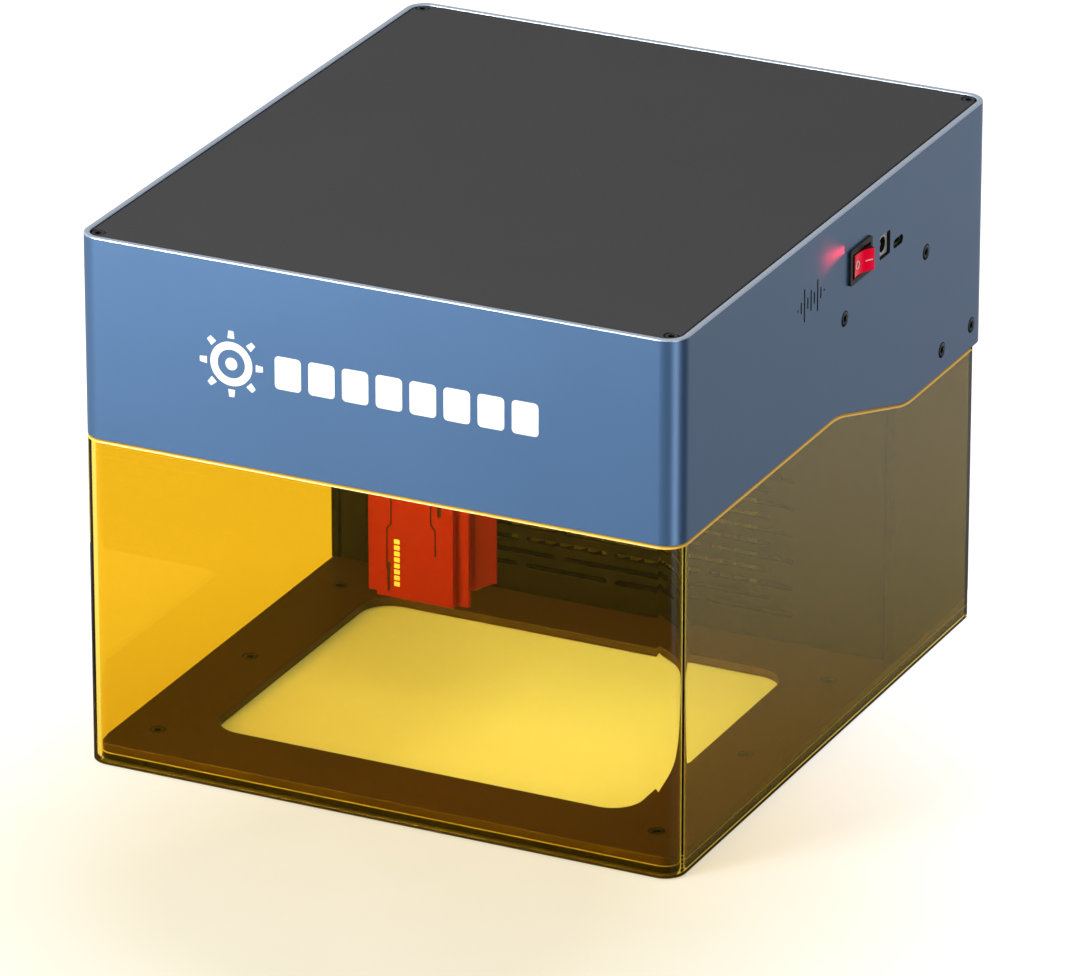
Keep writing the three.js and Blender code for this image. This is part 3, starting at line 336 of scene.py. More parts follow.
# The shell's top rim, painted lighter as a highlight.
RIM_HIGHLIGHT = grained("blue_rim_painted_highlight", (0.55, 0.63, 0.76), 0.30, 0.6, 2600.0, 0.00001)
BED = bed_metal()
RUBBER = grained("rubber", (0.022, 0.022, 0.022), 0.85, 0.0, 1500.0, 0.00006)
ACRYLIC = acrylic()
EDGE_GLOW = painted_edge_glow()
FOOT_SHADE = painted_foot_shade()
SWITCH_BLACK = grained("switch_plastic", (0.012, 0.013, 0.010), 0.45, 0.0, 3000.0, 0.00001)
LIT_RED = lit_plastic("lit_red", (0.74, 0.0, 0.026), 0.46)
# A darker copy of the lit red, painted on the rocker's sides as shade.
SHADED_RED = lit_plastic("red_painted_shade", (0.05, 0.0, 0.002), 0.10)
WHITE_PRINT = grained("white_print", (0.87, 0.87, 0.87), 0.5, 0.0, 2600.0, 0.00001)
CREAM_PRINT = grained("cream_print", (0.95, 0.88, 0.62), 0.5, 0.0, 2600.0, 0.00001)
SOCKET_METAL = grained("socket_metal", (0.62, 0.64, 0.60), 0.38, 0.3, 2600.0, 0.00001)
NICKEL = brushed("nickel", (0.62, 0.61, 0.58), 0.30, ALONG_Z)
SOLDER_MASK = solder_mask()
CHIP = grained("chip_black", (0.03, 0.03, 0.03), 0.5, 0.0, 2500.0, 0.00002)
CAN = brushed("capacitor_can", (0.55, 0.56, 0.58), 0.32, ALONG_Z)
BRACKET = grained("black_anodised", (0.030, 0.030, 0.031), 0.42, 0.5, 2400.0, 0.00002)
STEEL_Y = brushed("ground_steel_y", (0.60, 0.60, 0.61), 0.16, ALONG_Y)
STEEL_X = brushed("ground_steel_x", (0.60, 0.60, 0.61), 0.16, ALONG_X)
STEEL_CAP = brushed("motor_cap", (0.42, 0.42, 0.43), 0.35, ALONG_Z)
MOTOR_COAT = grained("motor_coat", (0.022, 0.022, 0.023), 0.45, 0.1, 1600.0, 0.00004)
RED = grained("red_anodised", (0.33, 0.011, 0.030), 0.34, 0.60, 2600.0, 0.00002)
# Dark red-black, painted as shade in the module's grooves.
GROOVE_SHADE = grained("groove_painted_shade", (0.035, 0.012, 0.008), 0.6, 0.2, 2400.0, 0.00002)
PLASTIC = grained("black_plastic", (0.021, 0.021, 0.021), 0.50, 0.0, 1700.0, 0.00004)
BRASS = brushed("turned_brass", (0.62, 0.44, 0.16), 0.26, (1.0, 1.0, 12.0))
LENS = lens_glass()
FELT = felt()
# Black for the sockets' plastic, and painted shade on opening walls and set-back faces.
HOLE_BLACK_AND_SHADE = grained("black_inside_and_painted_shade", (0.006, 0.006, 0.006), 0.8, 0.0, 1200.0, 0.00002)


# ---------------------------------------------------------------- outlines, in millimetres
def arc(cx, cy, radius, start, end, steps):
    """Points on an arc, from start to end in quarter turns."""
    angles = [(start + (end - start) * i / steps) * math.pi / 2 for i in range(steps + 1)]
    return [(cx + radius * math.cos(a), cy + radius * math.sin(a)) for a in angles]


def rounded(x0, x1, y0, y1, radius, steps=10):
    """A rectangle with round corners, counter-clockwise from its lower right corner."""
    return (
        arc(x1 - radius, y0 + radius, radius, -1, 0, steps)
        + arc(x1 - radius, y1 - radius, radius, 0, 1, steps)
        + arc(x0 + radius, y1 - radius, radius, 1, 2, steps)
        + arc(x0 + radius, y0 + radius, radius, 2, 3, steps)
    )


def circle(cx, cy, radius, steps=40):
    return arc(cx, cy, radius, 0, 4 * (1 - 1 / steps), steps - 1)


def slot_outline(x0, x1, y0, y1, steps=5):
    """A slot with fully round ends on its short sides."""
    return rounded(x0, x1, y0, y1, 0.499 * min(x1 - x0, y1 - y0), steps)


def edge_height(y, drop=0.0):
    """Height of the shell's lower edge at y: level, a ramp down to the rear, level again."""
    slope = (REAR_EDGE_Z - FRONT_EDGE_Z) / (RAMP_REAR_Y - RAMP_FRONT_Y)
    s = RAMP_SOFTENING
    if y <= RAMP_FRONT_Y - s:
        z = FRONT_EDGE_Z
    elif y < RAMP_FRONT_Y + s:
        z = FRONT_EDGE_Z + slope * (y - RAMP_FRONT_Y + s) ** 2 / (4 * s)
    elif y <= RAMP_REAR_Y - s:
        z = FRONT_EDGE_Z + slope * (y - RAMP_FRONT_Y)
    elif y < RAMP_REAR_Y + s:
        z = REAR_EDGE_Z - slope * (RAMP_REAR_Y + s - y) ** 2 / (4 * s)
    else:
        z = REAR_EDGE_Z
    return z - drop


# ---------------------------------------------------------------- mesh helpers
AXES = {
    "x": Matrix(((0, 0, 1), (1, 0, 0), (0, 1, 0))),  # outline in Y and Z
    "y": Matrix(((1, 0, 0), (0, 0, 1), (0, 1, 0))),  # outline in X and Z
    "z": Matrix.Identity(3),  # outline in X and Y
}


def link(name, mesh):
    obj = bpy.data.objects.new(name, mesh)
    bpy.context.scene.collection.objects.link(obj)
    return obj


def mesh_from(bm, name):
    """A mesh object from bm, its faces turned outwards."""
    bmesh.ops.recalc_face_normals(bm, faces=bm.faces)
    mesh = bpy.data.meshes.new(name)
    bm.to_mesh(mesh)
    bm.free()
    return link(name, mesh)


def add_prism(bm, outline, low, high, axis="z"):
    """An outline in millimetres, extruded from low to high along the axis."""
    turn = AXES[axis]
    rings = []
    for level in (low, high):
        rings.append([bm.verts.new(turn @ Vector((u, v, level)) * MM) for u, v in outline])
    count = len(outline)
    for i in range(count):
        j = (i + 1) % count
        bm.faces.new((rings[0][i], rings[0][j], rings[1][j], rings[1][i]))
    bm.faces.new(rings[0][::-1])
    bm.faces.new(rings[1])


def prisms(name, outlines, low, high, axis="z"):
    bm = bmesh.new()
    for outline in outlines:
        add_prism(bm, outline, low, high, axis)
    return mesh_from(bm, name)


def plate(name, outlines, low, high, bevel, axis="z", bevel_steps=2):
    """A plate with a bevelled edge: the first outline is its rim, the others are holes."""
    curve = bpy.data.curves.new(name, "CURVE")
    curve.dimensions = "2D"
    curve.fill_mode = "BOTH"
    for outline in outlines:
        spline = curve.splines.new("POLY")
        spline.points.add(len(outline) - 1)
        spline.use_cyclic_u = True
        for point, (u, v) in zip(spline.points, outline):
            point.co = (u * MM, v * MM, 0.0, 1.0)
    curve.extrude = ((high - low) / 2 - bevel) * MM
    curve.bevel_depth = bevel * MM
    curve.bevel_resolution = bevel_steps
    curve.offset = -bevel * MM
    holder = link(name + "_curve", curve)
    bpy.context.view_layer.update()
    graph = bpy.context.evaluated_depsgraph_get()
    mesh = bpy.data.meshes.new_from_object(holder.evaluated_get(graph))
    bpy.data.objects.remove(holder)
    bpy.data.curves.remove(curve)
    bm = bmesh.new()
    bm.from_mesh(mesh)
    bpy.data.meshes.remove(mesh)
    middle = (high + low) / 2
    for vert in bm.verts:
        vert.co = AXES[axis] @ (vert.co + Vector((0, 0, middle * MM)))
    bmesh.ops.remove_doubles(bm, verts=bm.verts, dist=WELD)
    bmesh.ops.dissolve_degenerate(bm, edges=bm.edges, dist=WELD / 2)
    return mesh_from(bm, name)


def lathe(name, profile, steps=48):
    """A closed profile of (radius, height) in millimetres, turned about Z."""
    bm = bmesh.new()
    rings = []
    for radius, height in profile:
        if radius < 0.0001:
            rings.append([bm.verts.new((0, 0, height * MM))])
            continue
        ring = []
        for i in range(steps):
            a = 2 * math.pi * i / steps
            reach = radius * MM
            ring.append(bm.verts.new((reach * math.cos(a), reach * math.sin(a), height * MM)))
        rings.append(ring)
    pairs = list(zip(rings, rings[1:]))
    if len(rings[0]) > 1:
        pairs.append((rings[-1], rings[0]))
    for lower, upper in pairs:
        for i in range(steps):
            j = (i + 1) % steps
            below = [lower[i % len(lower)], lower[j % len(lower)]]
            above = [upper[j % len(upper)], upper[i % len(upper)]]
            corners = list(dict.fromkeys(below + above))
            if len(corners) > 2:
                bm.faces.new(corners)
    return mesh_from(bm, name)


def apply_modifiers(obj):
    bpy.context.view_layer.update()
    graph = bpy.context.evaluated_depsgraph_get()
    mesh = bpy.data.meshes.new_from_object(obj.evaluated_get(graph))
    obj.modifiers.clear()
    old = obj.data
    obj.data = mesh
    bpy.data.meshes.remove(old)
    return obj


def boolean(obj, tool, operation="DIFFERENCE"):
    """Cuts the tool from obj, or joins it, and removes the tool."""
    modifier = obj.modifiers.new("cut", "BOOLEAN")
    modifier.solver = "EXACT"
    modifier.operation = operation
    modifier.object = tool
    apply_modifiers(obj)
    bpy.data.objects.remove(tool)
    return obj


def bevelled(obj, width, steps=2, angle=35.0):
    """A bevel of that width in millimetres on every edge sharper than angle."""
    modifier = obj.modifiers.new("bevel", "BEVEL")
    modifier.width = width * MM
    modifier.segments = steps
    modifier.limit_method = "ANGLE"
    modifier.angle_limit = math.radians(angle)
    modifier.miter_outer = "MITER_ARC"
    return obj


def smooth(obj, angle=32.0):
    """Smooth shading up to that angle, with flat faces kept flat."""
    obj.data.shade_smooth()
    obj.data.set_sharp_from_angle(angle=math.radians(angle))
    modifier = obj.modifiers.new("flat_faces", "WEIGHTED_NORMAL")
    modifier.keep_sharp = True
    modifier.weight = 80
    return obj


def paint(obj, *looks):
    obj.data.materials.clear()
    for look in looks:
        obj.data.materials.append(look.material)
    return obj


def paint_faces(obj, index, chosen):
    """Gives a slot to the faces that chosen picks by centre, in millimetres, and normal."""
    for face in obj.data.polygons:
        if chosen(face.center / MM, face.normal):
            face.material_index = index
    return obj


def stand_for(obj, node):
    """obj stands for a node: it hides it and rides on its body."""
    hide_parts(node)
    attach(obj, NODES[node]["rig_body"])
    return obj


def ride_with(obj, node):
    """A piece of its own that moves with a node."""
    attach(obj, NODES[node]["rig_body"])
    return obj


def merged(node):
    """A node's own shape to work on, with its flat faces made whole."""
    bm = bmesh.new()
    bm.from_mesh(NODES[node].data)
    bmesh.ops.remove_doubles(bm, verts=bm.verts, dist=WELD)
    bmesh.ops.dissolve_limit(bm, angle_limit=NEARLY_FLAT, verts=bm.verts, edges=bm.edges)
    return bm


def fine_copy(node):
    """A copy of a node's mesh with its flat faces made whole."""
    bm = merged(node)
    mesh = bpy.data.meshes.new(node + "_fine")
    bm.to_mesh(mesh)
    bm.free()
    for name in ("custom_normal", "sharp_edge", "sharp_face"):
        if name in mesh.attributes:
            mesh.attributes.remove(mesh.attributes[name])
    return link(node + "_fine", mesh)


def soften(obj, bevel, steps=2, shading=32.0, sharp=35.0):
    """Bevelled edges and smooth shading: the bevel comes first, though it is added last."""
    bevelled(smooth(obj, shading), bevel, steps, sharp)
    obj.modifiers.move(1, 0)
    return obj


def refine(node, look, bevel=0.25, steps=2, angle=35.0):
    """The node's own shape with softened edges and smooth curves."""
    obj = paint(fine_copy(node), look)
    if bevel:
        soften(obj, bevel, steps, angle, angle)
    else:
        smooth(obj, angle)
    return stand_for(obj, node)


# ---------------------------------------------------------------- camera and light
def aim(obj, target):
    obj.rotation_mode = "QUATERNION"
    obj.rotation_quaternion = (Vector(target) - obj.location).to_track_quat("-Z", "Y")


def make_camera():
    azimuth = math.radians(25.83)
    elevation = math.radians(22.96)
    distance = 3.731
    target = Vector((0.0044, -0.0104, 0.0908))
    back = Vector(
        (
            math.sin(azimuth) * math.cos(elevation),
            -math.cos(azimuth) * math.cos(elevation),
            math.sin(elevation),
        )
    )
    data = bpy.data.cameras.new("camera")
    data.lens = 309.5
    data.sensor_width = 36.0
    data.clip_end = 60.0
    camera = link("camera", data)
    camera.location = target + back * distance
    aim(camera, target)
    bpy.context.scene.camera = camera


def area_light(name, location, target, size, power, color=(1.0, 1.0, 1.0), height=None):
    data = bpy.data.lights.new(name, "AREA")
    data.energy = power
    data.color = color
    data.size = size
    if height is not None:
        data.shape = "RECTANGLE"
        data.size_y = height
    light = link(name, data)
    light.location = location
    aim(light, target)
    return light


# What the studio round the machine looks like from it, below the horizon and above it:
# [degrees from the front towards the right, brightness].
LOW_STUDIO = [
    (-180, 0.60), (-120, 0.50), (-70, 0.40), (-26, 0.045), (14, 0.02), (40, 0.05), (62, 4.40),
    (84, 0.30), (112, 0.04), (140, 0.64), (160, 0.76), (180, 0.68),
]
HIGH_STUDIO = 0.50
STUDIO_RISE = (-0.15, 0.25)  # the low walls turn into the upper light between these heights
# The walls end in a darker skirting, which the lower part of the panes mirrors.
SKIRTING = (-0.420, -0.378)
SKIRTING_SHARE = 0.10
# Near this place, in front of the machine, the floor's glow is painted lower and warmer: painted
# shade round the machine and a painted pool of amber light from the shield.
FLOOR_SHADE_CENTRE = (0.03, -0.21, 0.0)
FLOOR_SHADE_SHARE = 0.52
FLOOR_SHADE_REACH = (0.08, 0.34)
AMBER_POOL_REACH = (0.09, 0.27)
AMBER_POOL_COLOR = (1.0, 0.87, 0.55, 1.0)
WHITE = (1.0, 1.0, 1.0, 1.0)
FOOTPRINT_INSET = {"X": 4.2, "Y": 3.5}


def make_world():
    """A soft studio: even light from above, and darker and lighter walls near the floor."""
    world = bpy.data.worlds.new("studio")
    world.use_nodes = True
    tree = world.node_tree
    background = tree.nodes["Background"]
    direction = tree.nodes.new("ShaderNodeTexCoord").outputs["Generated"]
    split = tree.nodes.new("ShaderNodeSeparateXYZ")
    tree.links.new(direction, split.inputs["Vector"])
    front = math_node(tree, "MULTIPLY", split.outputs["Y"], -1.0)
    bearing = math_node(tree, "ARCTAN2", split.outputs["X"], front)
    share = map_range(tree, bearing, (-math.pi, math.pi))
    walls = tree.nodes.new("ShaderNodeFloatCurve")
    curve = walls.mapping.curves[0]
    brightest = max(value for degrees, value in LOW_STUDIO)
    while len(curve.points) < len(LOW_STUDIO):
        curve.points.new(0.5, 0.5)
    for point, (degrees, value) in zip(curve.points, LOW_STUDIO):
        point.location = ((degrees + 180) / 360, value / brightest)
        point.handle_type = "AUTO_CLAMPED"
    walls.mapping.update()
    tree.links.new(share, walls.inputs["Value"])
    scaled = math_node(tree, "MULTIPLY", walls.outputs["Value"], brightest)
    rise = map_range(tree, split.outputs["Z"], STUDIO_RISE, kind="SMOOTHSTEP")
    skirting = map_range(tree, split.outputs["Z"], SKIRTING, (SKIRTING_SHARE, 1.0), "SMOOTHSTEP")
    blend = tree.nodes.new("ShaderNodeMix")
    tree.links.new(rise, blend.inputs["Factor"])
    tree.links.new(math_node(tree, "MULTIPLY", scaled, skirting), blend.inputs["A"])
    blend.inputs["B"].default_value = HIGH_STUDIO
    tree.links.new(blend.outputs["Result"], background.inputs["Strength"])
    background.inputs["Color"].default_value = WHITE
    return world


def outside(look, value):
    """The value outside the machine's footprint, and nothing under it, where no light gets."""
    tree = look.tree
    split = tree.nodes.new("ShaderNodeSeparateXYZ")
    tree.links.new(look.point, split.inputs["Vector"])
    beyond = []
    for axis, half in (("X", HALF_WIDTH), ("Y", HALF_DEPTH)):
        size = math_node(tree, "ABSOLUTE", split.outputs[axis])
        edge = (half - FOOTPRINT_INSET[axis]) * MM
        beyond.append(math_node(tree, "GREATER_THAN", size, edge))
    return math_node(tree, "MULTIPLY", value, math_node(tree, "MAXIMUM", *beyond))


def make_floor():
    look = grained("pale_floor", (0.36, 0.36, 0.35), 0.9, 0.0, 300.0, 0.00001, 0.02)
    tree = look.tree
    distance = tree.nodes.new("ShaderNodeVectorMath")
    distance.operation = "DISTANCE"
    distance.inputs[1].default_value = FLOOR_SHADE_CENTRE
    tree.links.new(look.point, distance.inputs[0])
    # The floor's emission is painted lower near the machine as shade, and warmer as amber light
    # from the shield.
    glow = map_range(tree, distance.outputs["Value"], FLOOR_SHADE_REACH, (FLOOR_SHADE_SHARE, 1.0))
    tree.links.new(outside(look, glow), look.shader.inputs["Emission Strength"])
    amber_pool = tree.nodes.new("ShaderNodeValToRGB")
    ends = zip(amber_pool.color_ramp.elements, AMBER_POOL_REACH, (AMBER_POOL_COLOR, WHITE))
    for element, position, color in ends:
        element.position = position
        element.color = color
    tree.links.new(distance.outputs["Value"], amber_pool.inputs["Fac"])
    tree.links.new(amber_pool.outputs["Color"], look.shader.inputs["Emission Color"])
    outline = rounded(-4000, 4000, -4000, 4000, 10, 2)
    floor = paint(prisms("floor", [outline], -20, -0.05), look)
    floor.visible_glossy = False
    floor.visible_diffuse = False


def make_studio():
    scene = bpy.context.scene
    scene.view_settings.view_transform = "Standard"
    scene.world = make_world()

    make_floor()
    area_light("key", (-1.5, -1.9, 1.9), (0.0, 0.0, 0.1), 1.2, 28.0)
    area_light("front_left", (-0.75, -1.35, 0.40), (-0.05, -0.15, 0.17), 0.5, 27.0)
    # The lit rocker's glow on the shell in front of it.
    spill_red = (1.0, 0.01, 0.02)
    place, target = (0.1350, -0.003, 0.2098), (0.130, -0.006, 0.2112)
    spill = area_light("rocker_spill", place, target, 0.018, 0.007, spill_red, 0.003)
    spill.data.spread = math.radians(90)
    spill.visible_camera = False
    spill.visible_glossy = False
    for y in (-0.095, 0.005):
        place, target = (0.02, y, 0.150), (0.02, y, 0.0)
        lamp = area_light("chamber_lamp", place, target, 0.17, 0.20, (0.97, 1.0, 0.98), 0.05)
        lamp.visible_camera = False
        lamp.visible_transmission = False
        lamp.visible_glossy = False


# ---------------------------------------------------------------- upper shell
def wall_loop(half_width, half_depth, radius, steps=14, pitch=3.0):
    """A rounded rectangle whose long sides have a point every pitch, for the ramps."""
    outline = rounded(-half_width, half_width, -half_depth, half_depth, radius, steps)
    corner = steps + 1
    reach = half_depth - radius
    count = round(2 * reach / pitch)
    rise = [(half_width, -reach + 2 * reach * i / count) for i in range(1, count)]
    fall = [(-x, -y) for x, y in rise]
    return outline[:corner] + rise + outline[corner : 3 * corner] + fall + outline[3 * corner :]


def wall_ring(
    name, outer, inner, drop, top=None, foot=None, closed=True, rim_bevel=0.6, foot_bevel=0.3
):
    """A wall between two outlines. Its foot follows the edge, or its top does if foot is given."""
    bm = bmesh.new()
    rings = {}
    for side, outline in (("outer", outer), ("inner", inner)):
        low = [foot if foot is not None else edge_height(y, drop) for x, y in outline]
        high = [edge_height(y, drop) if foot is not None else top for x, y in outline]
        for end, heights in (("low", low), ("high", high)):
            points = [(x, y, z) for (x, y), z in zip(outline, heights)]
            rings[side, end] = [bm.verts.new(Vector(point) * MM) for point in points]
    loops = [
        rings["outer", "low"],
        rings["outer", "high"],
        rings["inner", "high"],
        rings["inner", "low"],
    ]
    count = len(outer)
    for i in range(count if closed else count - 1):
        j = (i + 1) % count
        for a, b in zip(loops, loops[1:] + loops[:1]):
            bm.faces.new((a[i], a[j], b[j], b[i]))
    if not closed:
        bm.faces.new([loop[0] for loop in loops])
        bm.faces.new([loop[-1] for loop in loops])
    bmesh.ops.recalc_face_normals(bm, faces=bm.faces)
    for level, width in (("high", rim_bevel), ("low", foot_bevel)):
        verts = {v for side in ("outer", "inner") for v in rings[side, level] if v.is_valid}
        edges = [
            e
            for e in bm.edges
            if e.verts[0] in verts and e.verts[1] in verts and e.calc_face_angle(0) > 1.0
        ]
        bmesh.ops.bevel(
            bm,
            geom=edges,
            offset=width * MM,
            segments=3,
            profile=0.5,
            affect="EDGES",
            clamp_overlap=False,
        )
    return mesh_from(bm, name)


def make_shell():
    face = HALF_DEPTH - PRINT_DEPTH
    outer = wall_loop(HALF_WIDTH, face, CORNER)
    inner = wall_loop(HALF_WIDTH - SHELL_WALL, face - SHELL_WALL, CORNER - SHELL_WALL)
    shell = wall_ring("upper_shell_fine", outer, inner, 0.0, TOP)

    bosses = []
    for sx in (-1, 1):
        for sy in (-1, 1):
            x = sx * (HALF_WIDTH - SHELL_WALL / 2 - BOSS / 2)
            y = sy * (face - SHELL_WALL / 2 - BOSS / 2)
            bosses.append(rounded(x - BOSS / 2, x + BOSS / 2, y - BOSS / 2, y + BOSS / 2, 5.5))
    boolean(shell, prisms("bosses", bosses, 204, 222.4), "UNION")

    switch = rounded(SWITCH_Y - 9.8, SWITCH_Y + 9.8, SWITCH_Z - 6.8, SWITCH_Z + 6.8, 0.5, 3)
    jack = rounded(JACK_Y - 5.15, JACK_Y + 5.15, JACK_Z - 5.0, JACK_Z + 5.0, 0.8, 4)
    usb = slot_outline(USB_Y - 4.8, USB_Y + 4.8, USB_Z - 1.95, USB_Z + 1.95, 8)
    openings = [switch, jack, usb]
    for i, height in enumerate(VENT_HEIGHTS):
        y = VENT_FRONT_Y + VENT_PITCH * i
        low, high = VENT_Z - height / 2, VENT_Z + height / 2
        openings.append(slot_outline(y - VENT_HALF_WIDTH, y + VENT_HALF_WIDTH, low, high, 4))
    boolean(shell, prisms("side_openings", openings, HALF_WIDTH - 6, HALF_WIDTH + 1, "x"))
    seats = [circle(y, z, SEAT_RADIUS, 40) for y, z in SIDE_SCREWS]
    for low, high in ((HALF_WIDTH - SUNK, HALF_WIDTH + 1), (-HALF_WIDTH - 1, SUNK - HALF_WIDTH)):
        boolean(shell, prisms("seats", seats, low, high, "x"))
    smooth(shell, 40.0)
    paint(shell, BLUE, RIM_HIGHLIGHT, HOLE_BLACK_AND_SHADE)
    # The rim's top faces are painted lighter, as a highlight.
    paint_faces(shell, 1, lambda c, n: c.z > TOP - 0.7 and n.z > 0.2)

    def in_cut(c, n):
        """The walls of the openings in the right side, which are painted dark as shade."""
        through = HALF_WIDTH - SHELL_WALL - 0.1 < c.x < HALF_WIDTH - 0.05
        return through and abs(n.x) < 0.5 and -42 < c.y < 64 and 188 < c.z < 209

    # The walls of the side openings are painted dark, as shade.
    paint_faces(shell, 2, in_cut)
    return stand_for(shell, "upper_shell")


def make_mark():
    """A generic mark on the front: a ring with short rays, and a row of plain bars."""
    front, back = -HALF_DEPTH, -HALF_DEPTH + 0.4
    ring = (-62.0, 183.5)
    outlines = []
    hoop = [circle(*ring, 9.2, 72), circle(*ring, 6.0, 60)]
    pieces = [plate("mark_ring", hoop, front, back, 0.02, "y", 1)]
    for i in range(8):
        a = math.pi * i / 4
        along = Vector((math.cos(a), math.sin(a)))
        across = Vector((-along.y, along.x))
        middle = Vector(ring)
        corners = [(10.7, -1.5), (13.8, -1.1), (13.8, 1.1), (10.7, 1.5)]
        outlines.append([tuple(middle + along * r + across * s) for r, s in corners])
    outlines.append(circle(*ring, 2.6, 36))
    bars, pitch = 8, 14.6
    for i in range(bars):
        x = -43.0 + i * pitch
        outlines.append(rounded(x, x + 11.4, 176.6, 190.4, 1.8, 5))
    for i, outline in enumerate(outlines):
        pieces.append(plate(f"mark_{i + 1}", [outline], front, back, 0.02, "y", 1))
    for piece in pieces:
        smooth(paint(piece, WHITE_PRINT), 30.0)
        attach(piece, "chassis")


# ---------------------------------------------------------------- fasteners
def screw_mesh(name, head_r, head_h, shank_r, length, edge=0.45):
    """A socket screw standing on its shank, its seat at z = 0, with a hexagon socket."""
    key = 1.45
    rim = key + 0.35
    profile = [
        (0, -length),
        (shank_r - 0.3, -length),
        (shank_r, 0.3 - length),
        (shank_r, 0),
        (head_r - 0.15, 0),
        (head_r, 0.15),
        (head_r, head_h - edge),
        (head_r - 0.3 * edge, head_h - 0.3 * edge),
        (head_r - edge, head_h),
        (rim, head_h),
        (rim - 0.2, head_h - 0.2),
        (0, head_h - 0.2),
    ]
    screw = lathe(name, profile)
    corners = [math.pi * i / 3 for i in range(6)]
    hexagon = [(key * math.cos(a), key * math.sin(a)) for a in corners]
    boolean(screw, prisms("key", [hexagon], head_h * 0.3, head_h + 1))
    screw.data.materials.clear()
    mesh = screw.data.copy()
    bpy.data.objects.remove(screw)
    return mesh


def place_screw(node, mesh, origin, turn=None):
    copy = mesh.copy()
    if turn is not None:
        copy.transform(turn)
    copy.transform(Matrix.Translation(Vector(origin) * MM))
    obj = link(node + "_fine", copy)
    paint(obj, SCREW, SCREW_HIGHLIGHT)
    return stand_for(smooth(obj, 30.0), node)


def make_screws():
    cover = screw_mesh("cover_screw", 2.6, 1.7, 1.5, 9.0)
    side = screw_mesh("side_screw", 3.1, 1.4, 1.5, 5.8, 0.6)
    base = screw_mesh("base_screw", 3.0, 1.6, 1.5, 4.6)
    for mesh, head_r, head_h in ((cover, 2.6, 1.7), (side, 3.1, 1.4), (base, 3.0, 1.6)):
        # A ring on each head's top is painted lighter, as a highlight.
        for face in mesh.polygons:
            centre = face.center / MM
            radius = math.hypot(centre.x, centre.y)
            on_top = centre.z > head_h - 0.5 and face.normal.z > 0.2
            face.material_index = 1 if on_top and 1.6 < radius < head_r else 0
    seat = HALF_WIDTH - SUNK + 0.1
    cover_z = 224.0 - 0.1
    places = {
        "cover_screw": {
            "front": (COVER_SCREW_X, -COVER_SCREW_Y, cover_z),
            "rear": (COVER_SCREW_X, COVER_SCREW_Y, cover_z),
        },
        "rail_screw": {"front": (seat, *SIDE_SCREWS[0]), "rear": (seat, *SIDE_SCREWS[1])},
        "housing_screw": {"front": (seat, *SIDE_SCREWS[2]), "rear": (seat, *SIDE_SCREWS[3])},
        "base_screw": {end: (BASE_SCREW_X, y, 6.8) for end, y in BASE_SCREWS_Y.items()},
    }
    meshes = {"cover_screw": cover, "rail_screw": side, "housing_screw": side, "base_screw": base}
    for family, ends in places.items():
        for end, (x, y, z) in ends.items():
            for name, sign in (("left", -1), ("right", 1)):
                mesh = meshes[family]
                turn = Matrix.Rotation(sign * math.pi / 2, 4, "Y") if mesh is side else None
                place_screw(f"{family}_{end}_{name}", mesh, (sign * x, y, z), turn)


def sunk_holes(places, radius, low, high):
    return prisms("sunk_holes", [circle(x, y, radius, 48) for x, y in places], low, high)


def make_cover():
    inset = SHELL_WALL + 0.7
    w, d = HALF_WIDTH - inset, HALF_DEPTH - inset
    outline = rounded(-w, w, -d, d, CORNER - inset, 12)
    cover = plate("top_cover_fine", [outline], 222.7, COVER_TOP_Z, 0.35)
    corners = [(sx * COVER_SCREW_X, sy * COVER_SCREW_Y) for sx in (-1, 1) for sy in (-1, 1)]
    boolean(cover, sunk_holes(corners, 3.2, 223.7, 227))
    boolean(cover, sunk_holes(corners, 1.8, 222, 224))
    paint(smooth(cover, 35.0), COVER)
    return stand_for(cover, "top_cover")


# ---------------------------------------------------------------- amber shield
def make_shield():
    outer = wall_loop(HALF_WIDTH, HALF_DEPTH, CORNER, 20)
    inner = wall_loop(HALF_WIDTH - SHIELD_WALL, HALF_DEPTH - SHIELD_WALL, CORNER - SHIELD_WALL, 20)
    # The loop starts at the front right corner, so the open side is cut out of its middle.
    kept_outer, kept_inner = [], []
    count = len(outer)
    first = next(i for i in range(count) if outer[i][1] > SHIELD_REAR_Y)
    last = max(i for i in range(count) if outer[i][1] > SHIELD_REAR_Y)
    for i in [*range(last + 1, count), *range(first)]:
        kept_outer.append(outer[i])
        kept_inner.append(inner[i])
    for kept, x in ((kept_outer, HALF_WIDTH), (kept_inner, HALF_WIDTH - SHIELD_WALL)):
        kept.insert(0, (-x, SHIELD_REAR_Y))
        kept.append((x, SHIELD_REAR_Y))
    shield = wall_ring(
        "amber_shield_fine",
        kept_outer,
        kept_inner,
        SHIELD_TOP_GAP,
        foot=SHIELD_FOOT_Z,
        closed=False,
        rim_bevel=0.7,
        foot_bevel=0.35,
    )
    paint(smooth(shield, 12.0), ACRYLIC, EDGE_GLOW, FOOT_SHADE)
    # The foot's underside gets the painted shade.
    paint_faces(shield, 2, lambda c, n: c.z < SHIELD_FOOT_Z + 0.4 and n.z < -0.3)

    # The rim's faces get the painted glow of the edge.
    def on_rim(c, n):
        return c.z > edge_height(c.y, SHIELD_TOP_GAP) - 0.72 and n.z > 0.1

    paint_faces(shield, 1, on_rim)
    return stand_for(shield, "amber_shield")


# ---------------------------------------------------------------- base
def base_outline():
    return rounded(-126.5, 126.5, -145.0, 147.6, 5.5, 12)


